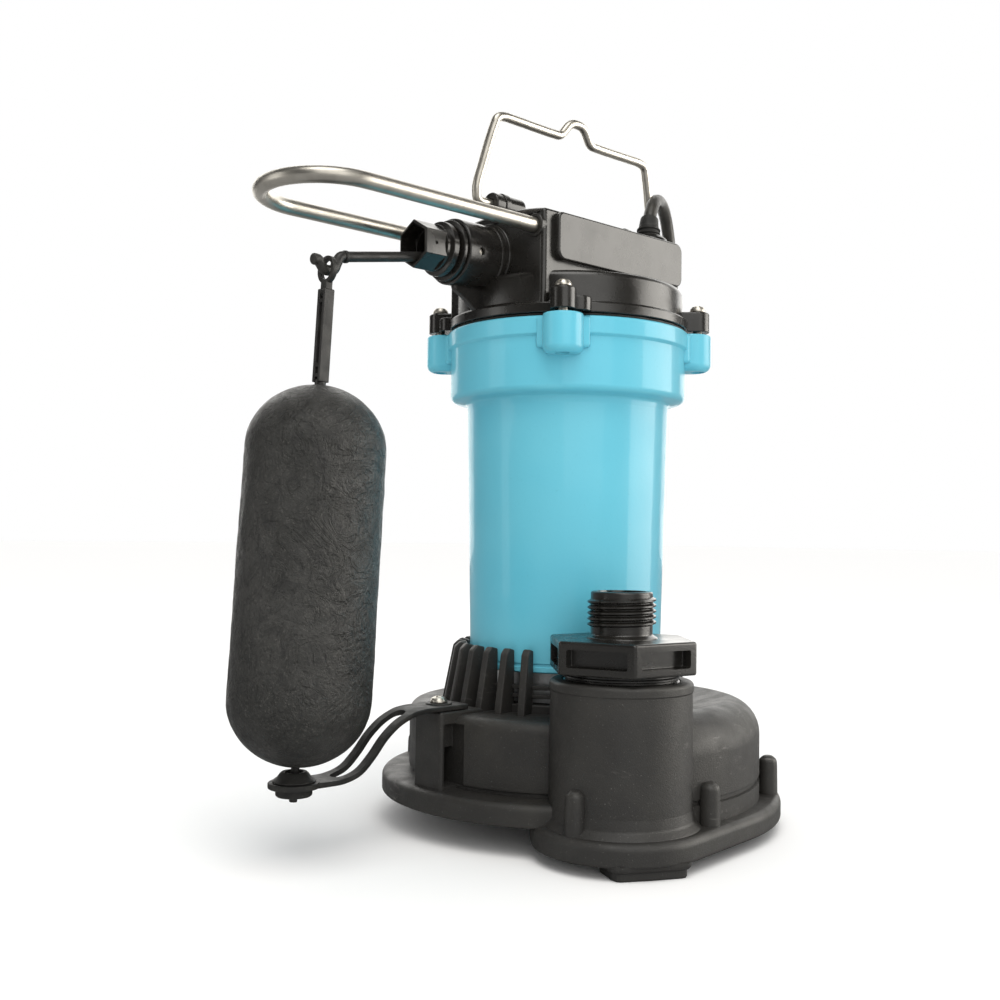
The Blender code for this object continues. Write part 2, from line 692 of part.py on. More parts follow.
def float_frame():
    """Turns the float's own upright axis to its hanging angle at the eye."""
    lean = Matrix.Rotation(math.radians(FLOAT_LEAN), 4, "Y")
    eye = Matrix.Translation(Vector((EYE_X, SWITCH_Y, EYE_Z)) * MM)
    return eye @ lean


def hang(obj):
    obj.data.transform(float_frame())
    set_origin(obj, (EYE_X, SWITCH_Y, EYE_Z))


def float_capsule():
    radius = FLOAT_R
    top, foot = -FLOAT_TOP_S, -FLOAT_FOOT_S
    rise = 25.0
    profile = []
    for i in range(7):
        angle = math.radians(90.0 * i / 6)
        profile.append((max(2.7, radius * math.sin(angle)), top - rise * (1 - math.cos(angle))))
    for i in range(7):
        angle = math.radians(90.0 * (6 - i) / 6)
        profile.append((max(2.7, (radius + 0.3) * math.sin(angle)), foot + rise * (1 - math.cos(angle))))
    capsule = lathe("float", profile, FOAM, 20)
    hang(capsule)


def float_rod():
    """An eye over the lever's notch, a ribbed bar, and a thin stem to the tip."""
    eye_inner, eye_outer = 3.8, 5.5
    profile = [(eye_outer, 1.0), (eye_outer, -1.0), (eye_inner, -1.0), (eye_inner, 1.0)]
    bar = lathe("float_rod", profile, PLASTIC, 16, (0, 0, 0), "X")
    unite(bar, block("neck", (-1.6, -1.9, -10.0), (1.6, 1.9, -4.4), PLASTIC))
    flange = 2.4
    web = 0.8
    outline = [(-flange, -flange), (flange, -flange), (flange, -web), (web, -web), (web, web), (flange, web),
               (flange, flange), (-flange, flange), (-flange, web), (-web, web), (-web, -web), (-flange, -web)]
    unite(bar, prism("ribs", outline, -FLOAT_TOP_S + 1.2, -9.0, PLASTIC))
    unite(bar, cylinder("stem", 2.2, -FLOAT_FOOT_S + 4, -FLOAT_TOP_S + 2.0, PLASTIC, sides=12))
    unite(bar, cylinder("tip", 1.6, -ROD_TIP_S, -FLOAT_FOOT_S + 5, PLASTIC, sides=12))
    hang(bar)


# ---------------------------------------------------------------- strap

def strap_line():
    """The strap's middle line, as (x, z), from the hinge out to the grommet."""
    return [(-84.6, 54.3), (-90.0, 53.2), (-97.0, 50.2), (-103.5, 45.2), (-109.3, 38.8), (-115.5, 33.6),
            (-123.0, 31.4), (-131.0, 31.2), (STRAP_END[0], STRAP_END[1])]


def guide_strap():
    line = [(p.x, p.z) for p in smooth_path([(x, 0.0, z) for x, z in strap_line()], 7.0)]
    half = STRAP_THICK / 2
    upper, lower = [], []
    for i, (x, z) in enumerate(line):
        before = line[max(i - 1, 0)]
        after = line[min(i + 1, len(line) - 1)]
        way = Vector((after[0] - before[0], after[1] - before[1])).normalized()
        upper.append((x + way.y * half, z - way.x * half))
        lower.append((x - way.y * half, z + way.x * half))
    outline = upper + lower[::-1]
    strap = prism("guide_strap", outline, SWITCH_Y - STRAP_HALF_WIDTH, SWITCH_Y + STRAP_HALF_WIDTH, RUBBER, "XZ")
    slot = block("slot", (-124.0, SWITCH_Y - 3.4, 20.0), (-90.0, SWITCH_Y + 3.4, 70.0), RUBBER)
    cut(strap, slot)
    x, z = STRAP_END
    unite(strap, cylinder("end_disc", 9.8, z - half - 0.1, z + half + 0.1, RUBBER, (x, SWITCH_Y), 20))
    cut(strap, cylinder("end_hole", 4.6, z - 5, z + 5, RUBBER, (x, SWITCH_Y), 14))
    set_origin(strap, (STRAP_HINGE[0], SWITCH_Y, STRAP_HINGE[1]))


def strap_fittings():
    x, z = STRAP_END
    top = z + STRAP_THICK / 2 + 0.1 + GAP
    low = z - STRAP_THICK / 2 - 0.1 - GAP
    profile = [(4.6, top + 3.6), (5.2, top + 3.3), (8.2, top), (4.2, top), (4.2, low), (6.9, low),
               (6.9, low - 2.3), (6.3, low - 2.8), (3.5, low - 2.8), (3.5, top + 3.6)]
    grommet = lathe("float_grommet", profile, RUBBER, 16, (x, SWITCH_Y, 0))
    set_origin(grommet, (STRAP_HINGE[0], SWITCH_Y, STRAP_HINGE[1]))
    pad = block("strap_tab", (STRAP_HINGE[0] + 0.1, SWITCH_Y - STRAP_HALF_WIDTH, BRACKET_TOP_Z + GAP),
                (-62.0, SWITCH_Y + STRAP_HALF_WIDTH, BRACKET_TOP_Z + 2.3), RUBBER)
    cut(pad, cylinder("hole", 2.4, 50, 60, RUBBER, (STRAP_SCREW_X, SWITCH_Y), 12))
    head = BRACKET_TOP_Z + 2.6
    profile = [(0, head + 2.9), (1.6, head + 2.7), (3.0, head + 1.9), (3.6, head + 0.8), (3.6, head),
               (2.0, head), (2.0, BRACKET_TOP_Z - 12), (0, BRACKET_TOP_Z - 12)]
    lathe("strap_screw", profile, STAINLESS, 14, (STRAP_SCREW_X, SWITCH_Y, 0))


# ---------------------------------------------------------------- base

def wall_radius(degrees):
    """The volute's outer wall: it opens clockwise, from the left round the
    back and right side to the discharge."""
    turned = (VOLUTE_START - degrees) % 360.0
    share = min(turned, VOLUTE_SWEEP) / VOLUTE_SWEEP
    if turned > VOLUTE_SWEEP:
        share = max(0.0, 1.0 - (turned - VOLUTE_SWEEP) / 35.0)
    return WALL_R[0] + (WALL_R[1] - WALL_R[0]) * share


def volute_ring(inset, top_drop, turn):
    """One ring of the volute's round shoulder, a quarter turn from wall to top."""
    ring_points = []
    for i in range(VOLUTE_SIDES):
        degrees = 360.0 * i / VOLUTE_SIDES
        radius = wall_radius(degrees)
        grown = (radius - WALL_R[0]) / (WALL_R[1] - WALL_R[0])
        shoulder = 5.0 + 11.0 * grown
        top = VOLUTE_TOP_Z + 4.5 * grown - top_drop
        inward = shoulder * (1 - math.cos(math.radians(turn)))
        height = top - shoulder * (1 - math.sin(math.radians(turn)))
        ring_points.append((*polar(radius - inset - inward, degrees), height))
    return ring_points


def volute_rings(inset, top_drop, floor, turns):
    """Rings of the domed volute body, higher and rounder where it is wider."""
    rings = [volute_ring(inset, top_drop, turn) for turn in turns]
    foot = [(x, y, floor) for x, y, _ in rings[0]]
    middle = [(x, y, VOLUTE_TOP_Z - top_drop) for x, y in circle(58.0 - inset, VOLUTE_SIDES)]
    return [foot, *rings, middle]


def lower_outline():
    points = arc(LOWER_FLANGE_R, -98, 60, 20)
    points += circle(LOBE_R, 24, DISCHARGE)
    return convex_hull(points)


def fins():
    pieces = []
    away = math.degrees(math.atan2(DISCHARGE[1], DISCHARGE[0]))
    profile = [(44.8, 50.5), (55.3, 50.5), (50.6, 76.2), (48.6, 78.1), (44.8, 77.2)]
    for i in range(FIN_COUNT):
        degrees = away + 360.0 * (i + 0.5) / FIN_COUNT + 3.0
        off = abs((degrees - away + 180.0) % 360.0 - 180.0)
        if off < FIN_CLEAR - 3.5:
            continue
        half = FIN_THICK / 2
        fin = prism("fin", profile, -half, half, CHARCOAL, "XZ")
        fin.data.transform(Matrix.Rotation(math.radians(degrees), 4, "Z"))
        pieces.append(fin)
    return merge_meshes("fins", pieces, CHARCOAL)


def screw_places():
    """The bosses outside the volute wall, and the flange face their screws go in from."""
    low = LOWER_FLANGE_Z[0]
    places = [(-64.4, -68.3, low), (-12.6, -91.4, low), (*polar(76.5, 112.0), UPPER_FLANGE_Z[0])]
    return places + [(*polar(90.5, degrees), low) for degrees in (-54.0, 0.0, 52.0)]


def motor_screw_places():
    return [polar(MOTOR_SCREW_R, 45.0 + 90.0 * i) for i in range(4)]


def foot_outline(degrees, radius, depth):
    half = FOOT_WIDTH / 2
    c, s = polar(1.0, degrees)
    corners = [(radius - depth, -half), (radius - 1.0, -half), (radius, -half * 0.6), (radius + 0.6, 0.0),
               (radius, half * 0.6), (radius - 1.0, half), (radius - depth, half)]
    return [(x * c - y * s, x * s + y * c) for x, y in corners]


def volute_base():
    base = loft("volute_base", volute_rings(0.0, 0.0, RECESS_TOP_Z + 0.5, (0, 30, 60, 90)), CHARCOAL)
    unite(base, plate("lower_flange", lower_outline(), *LOWER_FLANGE_Z, 2.4, CHARCOAL))
    upper = circle(UPPER_FLANGE_R, ROUND, turn=3.7)
    unite(base, plate("upper_flange", upper, *UPPER_FLANGE_Z, 2.4, CHARCOAL))
    tube = cylinder("tube", DISCHARGE_R, LOWER_FLANGE_Z[0] + 1, DISCHARGE_TOP_Z, CHARCOAL, DISCHARGE, 28)
    unite(base, tube)
    low = (BRACKET_X[0], BRACKET_Y[0], UPPER_FLANGE_Z[1] - 2)
    unite(base, block("bracket", low, (BRACKET_X[1], BRACKET_Y[1], BRACKET_TOP_Z), CHARCOAL))
    unite(base, ring("motor_seat", 43.0, 46.5, VOLUTE_TOP_Z - 2, VOLUTE_TOP_Z + 3.4, CHARCOAL, sides=28))
    unite(base, fins())
    bosses = []
    for x, y, low in screw_places():
        profile = [(0, BOSS_TOP_Z), (2.4, BOSS_TOP_Z - 0.6), (4.0, BOSS_TOP_Z - 3.5), (4.0, low + 1.0), (0, low + 1.0)]
        bosses.append(lathe("boss", profile, CHARCOAL, SMALL, (x, y, 0)))
    unite(base, merge_meshes("bosses", bosses, CHARCOAL))
    for degrees, radius, depth in FEET:
        outline = foot_outline(degrees, radius, depth)
        top = UPPER_FLANGE_Z[0] + 1 if degrees > 0 else LOWER_FLANGE_Z[0] + 1
        unite(base, prism("foot", outline, 0.0, top, CHARCOAL))
    base_cuts(base)
    return base


def base_cuts(base):
    chamber = volute_rings(VOLUTE_WALL, 4.5, LOWER_FLANGE_Z[0] - 1, (0, 45, 90))
    cut(base, loft("chamber", chamber, CHARCOAL))
    cut(base, prism("recess", plate_outline(1.0), LOWER_FLANGE_Z[0] - 1, RECESS_TOP_Z, CHARCOAL))
    cut(base, block("bracket_hollow", (BRACKET_X[0] + 2.0, BRACKET_Y[0] - 1.0, UPPER_FLANGE_Z[1] + 1.0),
                    (BRACKET_X[0] + 8.0, BRACKET_Y[1] - 2.0, BRACKET_TOP_Z - 15.0), CHARCOAL))
    bore = cylinder("bore", DISCHARGE_BORE_R, 12.0, DISCHARGE_TOP_Z + 1, CHARCOAL, DISCHARGE, 28)
    cut(base, bore)
    cut(base, cylinder("shaft_hole", 11.5, 40.0, VOLUTE_TOP_Z + 6, CHARCOAL, sides=16))
    holes = [cylinder("hole", 1.9, low + 1.0, 26.0, CHARCOAL, (x, y), 10) for x, y, low in screw_places()]
    for x, y, low in screw_places():
        cut(base, cylinder("counterbore", 3.5, low - 1.0, low + SCREW_HEAD_DEEP, CHARCOAL, (x, y), 12))
    holes += [cylinder("hole", 2.3, 40.0, VOLUTE_TOP_Z + 6, CHARCOAL, at, 10) for at in motor_screw_places()]
    low, high = BRACKET_TOP_Z - 14, BRACKET_TOP_Z + 2
    holes.append(cylinder("hole", 2.4, low, high, CHARCOAL, (STRAP_SCREW_X, SWITCH_Y), 10))
    cut(base, merge_meshes("holes", holes, CHARCOAL))


def plate_outline(inset):
    """The volute wall's outline, moved in, for the inlet plate and its recess."""
    return [polar(wall_radius(360.0 * i / VOLUTE_SIDES) - inset, 360.0 * i / VOLUTE_SIDES)
            for i in range(VOLUTE_SIDES)]


def base_fittings():
    ring("motor_seal_ring", 39.4, 42.4, VOLUTE_TOP_Z + GAP, 55.1, RUBBER, sides=24)
    plate_body = prism("bottom_plate", plate_outline(1.0 + GAP), *PLATE_Z, CHARCOAL)
    slots = [cylinder("eye", 15.0, 6.0, 16.0, CHARCOAL, sides=18)]
    for i in range(8):
        slots.append(cylinder("slot", 3.2, 6.0, 16.0, CHARCOAL, polar(22.0, 45.0 * i), 8))
    cut(plate_body, merge_meshes("slots", slots, CHARCOAL))
    for i, (x, y, low) in enumerate(screw_places()):
        seat = low + SCREW_HEAD_DEEP - GAP
        profile = [(0, 24.0), (1.6, 24.0), (1.6, seat), (3.1, seat), (3.1, seat - 1.0), (0, seat - 1.4)]
        lathe(f"base_screw_{i + 1}", profile, STAINLESS, 12, (x, y, 0))
    for i, at in enumerate(motor_screw_places()):
        profile = [(0, 54.8), (2.0, 54.8), (2.0, 45.0), (3.8, 45.0), (3.8, 42.8), (0, 42.2)]
        lathe(f"motor_screw_{i + 1}", profile, STAINLESS, 12, (*at, 0))


def impeller():
    hub = [(30.0, 26.0), (30.0, 23.0), (9.0, 22.0), (9.0, 13.0), (3.7, 13.0), (3.7, 23.3), (5.3, 23.6),
           (5.3, 34.0), (9.0, 34.0), (9.0, 26.0)]
    wheel = lathe("impeller", hub, PLASTIC, 20)
    for i in range(5):
        outer, inner = [], []
        for k in range(5):
            radius = 8.0 + 21.0 * k / 4
            sweep = 72.0 * i - 55.0 * k / 4
            outer.append(polar(radius, sweep))
            inner.append(polar(radius, sweep + 150.0 / radius))
        unite(wheel, prism("vane", outer + inner[::-1], PLATE_Z[1] + 1.0, 24.0, PLASTIC))
    lathe("impeller_nut", [(6.6, 12.7), (6.6, 8.6), (4.4, 8.6), (4.4, 12.7)], BRASS, 6)


# ---------------------------------------------------------------- adapter

def discharge_adapter():
    x, y = DISCHARGE
    hexagon = circle(HEX_CORNER_R, 6, DISCHARGE, HEX_TURN)
    adapter = prism("discharge_adapter", hexagon, *HEX_Z, BLACK)
    face = HEX_CORNER_R * math.cos(math.radians(30))
    pockets = []
    for i in range(6):
        degrees = HEX_TURN + 30 + 60 * i
        c, s = polar(1.0, degrees)
        pocket = block("pocket", (face - 6.0, -11.6, HEX_Z[0] + 3.2), (face + 2, 11.6, HEX_Z[1] - 3.4), BLACK)
        pocket.data.transform(Matrix.Translation((x * MM, y * MM, 0)) @ Matrix.Rotation(math.radians(degrees), 4, "Z"))
        pockets.append(pocket)
    cut(adapter, merge_meshes("pockets", pockets, BLACK))
    neck = [(0, HEX_Z[0] + 1), (22.9, HEX_Z[0] + 1), (22.9, DISCHARGE_TOP_Z + 2.5), (22.2, DISCHARGE_TOP_Z + 2.0),
            (22.9, DISCHARGE_TOP_Z + 1.4), (22.9, 54.0), (21.9, 52.0), (0, 52.0)]
    unite(adapter, lathe("neck", neck, BLACK, 24, (x, y, 0)))
    nipple = [(0, NIPPLE_TOP_Z), (NIPPLE_R - 0.5, NIPPLE_TOP_Z), (NIPPLE_R, NIPPLE_TOP_Z - 0.5)]
    z = NIPPLE_TOP_Z - 3.2
    for _ in range(5):
        nipple += [(NIPPLE_R, z), (THREAD_R, z - 1.05), (NIPPLE_R, z - 2.1)]
        z -= THREAD_PITCH
    nipple += [(NIPPLE_R, HEX_Z[1] - 1.0), (0, HEX_Z[1] - 1.0)]
    unite(adapter, lathe("nipple", nipple, BLACK, 20, (x, y, 0)))
    cut(adapter, cylinder("bore", ADAPTER_BORE_R, 50.0, NIPPLE_TOP_Z + 1, BLACK, DISCHARGE, 16))


# ---------------------------------------------------------------- handle, cord

def handle_point(x, z):
    """The handle leans forward in proportion to its height over the pivot."""
    share = (z - HANDLE_PIVOT_Z) / (HANDLE_BAR_Z - HANDLE_PIVOT_Z)
    return x, -HANDLE_LEAN * share, z


def carry_handle():
    half = [(38.0, HANDLE_PIVOT_Z), (HANDLE_FOOT - 2.2, HANDLE_PIVOT_Z), (HANDLE_FOOT - 0.6, HANDLE_PIVOT_Z + 0.7),
            (HANDLE_FOOT, HANDLE_PIVOT_Z + 2.4), (HANDLE_FOOT, 276.0), (HANDLE_CORNER + 0.5, HANDLE_BAR_Z - 5.0),
            (HANDLE_CORNER - 1.2, HANDLE_BAR_Z - 1.4), (HANDLE_CORNER - 5.0, HANDLE_BAR_Z)]
    hump = [(15.0, HANDLE_BAR_Z), (10.5, HANDLE_BAR_Z + 0.8), (6.5, HANDLE_BAR_Z + HANDLE_HUMP - 1.0),
            (4.0, HANDLE_BAR_Z + HANDLE_HUMP), (0.0, HANDLE_BAR_Z + HANDLE_HUMP + 0.3)]
    right = [handle_point(x, z) for x, z in half + hump]
    left = [(-x, y, z) for x, y, z in right[:-1]]
    handle = as_mesh("carry_handle", wire("handle_path", left + right[::-1], HANDLE_WIRE_R, STAINLESS))
    set_origin(handle, (0.0, 0.0, HANDLE_PIVOT_Z))


def strain_relief():
    top = BOX_TOP_Z + 1.0
    profile = [(5.2, top + 3.4), (5.6, top + 3.0), (5.6, top + 2.0), (4.2, top + 2.0), (4.2, BOX_TOP_Z - 6),
               (3.75, BOX_TOP_Z - 6), (3.75, top + 3.4)]
    lathe("strain_relief", profile, RUBBER, 16, (*RELIEF, 0))


def cord_points():
    """The cord rises from its gland, bends over, drops behind the motor and runs
    along the floor to the outer side of its coil."""
    return [
        (33.5, -19.5, 258.0), (33.5, -19.5, 263.0), (33.7, -19.4, 269.0), (35.4, -18.5, 275.0), (39.0, -16.7, 281.0),
        (45.7, -13.3, 286.6), (54.5, -8.8, 288.8), (63.6, -4.2, 286.6), (70.9, -0.4, 280.3), (75.2, 1.7, 271.0),
        (76.6, 3.4, 258.0), (77.4, 6.0, 236.0), (78.6, 10.5, 206.0), (80.0, 17.5, 174.0), (81.0, 28.0, 138.0),
        (78.5, 40.5, 100.0), (71.5, 56.0, 66.0), (63.6, 70.5, 38.0),
        (56.6, 86.0, 16.0), (52.4, 99.4, 5.6), (51.2, 108.4, 3.4), (52.1, 117.4, 3.3),
    ]


def tail_centre():
    """The last half turn bends tighter than the coil, about a centre of its own."""
    x, y = polar(COIL_MID_R - TAIL_R, TAIL_BENDS)
    return COIL_CENTRE[0] + x, COIL_CENTRE[1] + y


def tail_points():
    """The cord's last turn lies on top of the coil and runs up into the plug's sleeve."""
    low = COIL_Z[1] + GAP + CORD_R
    points = [(x, y, low) for x, y in arc(COIL_MID_R, TAIL_STARTS, TAIL_BENDS, 3, COIL_CENTRE)]
    turn = arc(TAIL_R, TAIL_BENDS, PLUG_TURN + 90.0, 9, tail_centre())
    for i, (x, y) in enumerate(turn[1:]):
        share = (i + 1) / 9
        points.append((x, y, low + (PLUG_Z - low) * share * share * (3 - 2 * share)))
    return [*points, plug_point(0.0, 0.0, 0.0)]


def plug_point(along, across, up):
    """A point of the plug, from its length, width and height at the sleeve's mouth."""
    x, y = tail_centre()
    a, b = polar(TAIL_R, PLUG_TURN + 90.0)
    c, s = polar(1.0, PLUG_TURN)
    along += TAIL_STRAIGHT
    return x + a + along * c - across * s, y + b + along * s + across * c, PLUG_Z + up


def plug_section(along, half_width, half_height):
    """A rounded rectangle across the plug."""
    points = []
    for i in range(16):
        c, s = polar(1.0, 22.5 * i)
        across = half_width * math.copysign(abs(c) ** 0.6, c)
        up = half_height * math.copysign(abs(s) ** 0.6, s)
        points.append(plug_point(along, across, up))
    return points


def plug_block(name, along, across, up, spec):
    """A square-edged bar in the plug's own directions; each argument is (low, high)."""
    rings = []
    for a in along:
        corners = [(across[0], up[0]), (across[1], up[0]), (across[1], up[1]), (across[0], up[1])]
        rings.append([plug_point(a, b, c) for b, c in corners])
    return loft(name, rings, spec)


def plug():
    wide, high = PLUG_HALF
    front = PLUG_LENGTH
    sections = [(GAP, 4.3, 4.3), (SLEEVE_LENGTH, 5.4, 5.4), (SLEEVE_LENGTH + 1.0, 8.0, 8.0),
                (SLEEVE_LENGTH + 14.0, wide - 1.0, high - 1.0), (SLEEVE_LENGTH + 18.0, wide, high),
                (front - 1.0, wide, high), (front, wide - 1.0, high - 1.0)]
    body = loft("plug_body", [plug_section(*section) for section in sections], RUBBER)
    for i, side in enumerate((-1, 1)):
        middle = side * BLADE_SPACING / 2
        half = BLADE[1] / 2
        low, top = BLADE_LIFT - BLADE[2] / 2, BLADE_LIFT + BLADE[2] / 2
        plug_block(f"plug_blade_{i + 1}", (front - BLADE_ROOT, front + BLADE[0]),
                   (middle - half, middle + half), (low, top), BRASS)
        cut(body, plug_block("slot", (front - BLADE_ROOT - GAP, front + 1.0),
                             (middle - half - GAP, middle + half + GAP), (low - GAP, top + GAP), RUBBER))
    rod("ground_pin", PIN[1], plug_point(front - BLADE_ROOT, 0, -PIN_DROP),
        plug_point(front + PIN[0], 0, -PIN_DROP), BRASS)
    cut(body, rod("socket", PIN[1] + GAP, plug_point(front - BLADE_ROOT - GAP, 0, -PIN_DROP),
                  plug_point(front + 1.0, 0, -PIN_DROP), RUBBER))


def cord():
    wire("power_cord", smooth_path(cord_points(), 15.0), CORD_R, RUBBER)
    inner, outer = COIL_MID_R - COIL_HALF_WIDTH, COIL_MID_R + COIL_HALF_WIDTH
    ring("cord_coil", inner, outer, *COIL_Z, RUBBER, COIL_CENTRE, 32)
    wire("cord_tail", tail_points(), CORD_R, RUBBER)


def build_all():
    clear_scene()
    motor_housing()
    cover_fasteners()
    motor_internals()
    top_cover()
    guard_hoop()
    switch_nut()
    lever_arm()
    switch_parts()
    float_capsule()
    float_rod()
    guide_strap()
    strap_fittings()
    volute_base()
    base_fittings()
    impeller()
    discharge_adapter()
    carry_handle()
    strain_relief()
    cord()
    plug()
    for obj in bpy.data.objects:
        shade(obj)
        obj.location -= Vector((*BOX_CENTRE, 0.0)) * MM


build_all()
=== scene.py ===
import math

import bmesh
import bpy
from mathutils import Matrix, Vector, noise


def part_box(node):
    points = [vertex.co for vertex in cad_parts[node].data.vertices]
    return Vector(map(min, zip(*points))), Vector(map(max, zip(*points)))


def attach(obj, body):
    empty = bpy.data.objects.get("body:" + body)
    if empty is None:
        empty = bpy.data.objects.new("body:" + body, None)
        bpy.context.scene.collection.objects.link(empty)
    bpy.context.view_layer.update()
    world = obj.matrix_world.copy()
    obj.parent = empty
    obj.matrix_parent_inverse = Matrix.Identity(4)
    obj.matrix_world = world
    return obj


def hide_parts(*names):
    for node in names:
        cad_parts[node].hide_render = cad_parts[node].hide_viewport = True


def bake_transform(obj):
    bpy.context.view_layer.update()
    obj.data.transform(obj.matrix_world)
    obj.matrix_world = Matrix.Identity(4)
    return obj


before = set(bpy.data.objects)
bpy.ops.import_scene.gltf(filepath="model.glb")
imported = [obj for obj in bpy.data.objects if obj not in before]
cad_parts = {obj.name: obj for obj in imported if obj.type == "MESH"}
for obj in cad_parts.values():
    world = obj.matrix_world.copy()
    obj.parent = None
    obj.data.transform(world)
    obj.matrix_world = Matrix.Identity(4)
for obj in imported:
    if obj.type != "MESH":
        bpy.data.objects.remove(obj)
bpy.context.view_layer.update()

# Shapes are made in millimetres from the motor's axis, and moved into the row's frame when they are done.
MM = 0.001
shaft_low, shaft_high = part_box("motor_shaft")
AXIS = Vector(((shaft_low.x + shaft_high.x) / 2, (shaft_low.y + shaft_high.y) / 2, 0.0))
PLACE = Matrix.Translation(AXIS) @ Matrix.Scale(MM, 4)

MIDDLE_Z = 170.0
# The switch's barrel, the lever, the float and its strap share one upright plane, at SWITCH_Y.
SWITCH_Y = 4.0
BARREL_Z = 245.5
PIVOT = Vector((-62.0, SWITCH_Y, 244.4))
LEVER_DROOP = 9.8
EYE = Vector((-129.8, SWITCH_Y, 227.6))
FLOAT_LEAN = 3.3
FLOAT_R = 27.0
SOCKET_FLATS = 17.6
# The cover: its four ears, its screws, the handle's feet, the guard hoop's two legs, and the cord's gland.
EAR_ANGLES = [-138.0 + 90.0 * i for i in range(4)]
SCREW_CIRCLE = 59.0
HANDLE_PIVOT_Z = 269.0
HOOP_LEGS = (-25.0, 25.4)
HOOP_Z = 255.6
RELIEF = (33.5, -19.5)
CORD_R = 3.1
# The base: its wall's least radius and how far that grows, its shoulder, and the discharge tube.
VOLUTE_START, VOLUTE_GROWTH = 70.0, 21.0
SHOULDER_Z = 51.5
DISCHARGE = (-35.8, -65.5)
TUBE_OUTER = 28.3


# ------------ camera and lights

def add(name, data):
    """A new object, in the scene."""
    obj = bpy.data.objects.new(name, data)
    bpy.context.scene.collection.objects.link(obj)
    return obj


def node(tree, kind, inputs, output=0, **settings):
    """Adds a shader node and gives one of its outputs; an input is a value or another node's output."""
    made = tree.nodes.new(f"ShaderNode{kind}")
    for name, value in settings.items():
        setattr(made, name, value)
    for socket, value in inputs.items():
        if isinstance(value, bpy.types.NodeSocket):
            tree.links.new(value, made.inputs[socket])
        else:
            made.inputs[socket].default_value = value
    return made.outputs[output]


def place_camera():
    data = bpy.data.cameras.new("camera")
    data.lens, data.sensor_width, data.clip_start = 42.015, 36.0, 0.02
    camera = add("camera", data)
    right = Vector((0.73348324, -0.67961353, 0.01130373))
    up = Vector((-0.02909759, -0.01478029, 0.99946729))
    away = Vector((0.67908443, 0.73342142, 0.03061621))
    turn = Matrix((right, up, -away)).transposed().to_4x4()
    camera.matrix_world = Matrix.Translation(PLACE @ Vector((-384.93, -371.20, 125.57))) @ turn
    bpy.context.scene.camera = camera


def facing(way):
    """The turn of a lamp that shines from that way."""
    return Vector(way).to_track_quat("Z", "Y").to_matrix().to_4x4()


def softbox(name, towards, distance, size, radiance, tint, mirror_only=False):
    """A rectangular lamp that faces the pump; radiance is what its surface gives.

    A mirror_only lamp shows in glossy surfaces and adds nothing to matte ones."""
    data = bpy.data.lights.new(name, "AREA")
    data.shape = "RECTANGLE"
    data.size, data.size_y = size
    data.energy = radiance * math.pi * size[0] * size[1]
    data.color = tint
    lamp = add(name, data)
    middle = PLACE @ Vector((0.0, 0.0, MIDDLE_Z))
    spot = middle + Vector(towards).normalized() * distance
    lamp.matrix_world = Matrix.Translation(spot) @ facing(spot - middle)
    lamp.visible_camera = False
    lamp.visible_diffuse = not mirror_only


def light_the_scene():
    """The world lights matte surfaces, is nearly dark in glossy ones, and is white paper behind the pump."""
    warm, plain, white = (1.0, 0.965, 0.90), (1.0, 0.985, 0.95), (1.0, 1.0, 1.0, 1.0)
    softbox("softbox_right", (0.77, -0.64, 0.10), 1.15, (0.9, 1.2), 5.2, warm, True)
    softbox("softbox_left", (-0.90, 0.43, 0.10), 1.15, (0.36, 1.2), 1.6, plain, True)
    softbox("backdrop", (0.62, 0.66, 0.44), 1.6, (3.0, 1.8), 2.1, plain, True)
    softbox("fill_front", (-0.42, -0.82, 0.38), 1.6, (1.4, 1.4), 1.4, plain)
    sun = bpy.data.lights.new("overhead_bank", "SUN")
    sun.energy, sun.angle, sun.color = 1.25, math.radians(40.0), plain
    add("overhead_bank", sun).matrix_world = facing((-0.30, -0.36, 1.0))
    world = bpy.data.worlds.new("studio")
    bpy.context.scene.world = world
    world.use_nodes = True
    tree = world.node_tree
    fill = tree.nodes["Background"]
    fill.inputs["Color"].default_value = white
    fill.inputs["Strength"].default_value = 0.72
    dark = node(tree, "Background", {"Strength": 0.07})
    paper = node(tree, "Background", {"Color": white, "Strength": 1.0})
    glossy, camera = (node(tree, "LightPath", {}, f"Is {ray} Ray") for ray in ("Glossy", "Camera"))
    room = node(tree, "MixShader", {0: glossy, 1: fill.outputs[0], 2: dark})
    seen = node(tree, "MixShader", {0: camera, 1: room, 2: paper})
    tree.links.new(seen, tree.nodes["World Output"].inputs["Surface"])
    bpy.context.scene.view_settings.view_transform = "Standard"


def lay_floor():
    """White paper that looks darker in the pump's glossy surfaces."""
    bm = bmesh.new()
    bmesh.ops.create_grid(bm, x_segments=8, y_segments=8, size=14.0)
    mesh = bpy.data.meshes.new("floor")
    bm.to_mesh(mesh)
    bm.free()
    paper = Finish("floor_paper", (0.97, 0.97, 0.97), 0.85, specular=0.1)
    paper.bump((900.0, 2.0), 0.05, 0.0005)
    paper.cover((0.28, 0.28, 0.28), node(paper.tree, "LightPath", {}, "Is Glossy Ray"))
    mesh.materials.append(paper.mat)
    add("floor", mesh)


# ------------ materials

FINISHES = {}


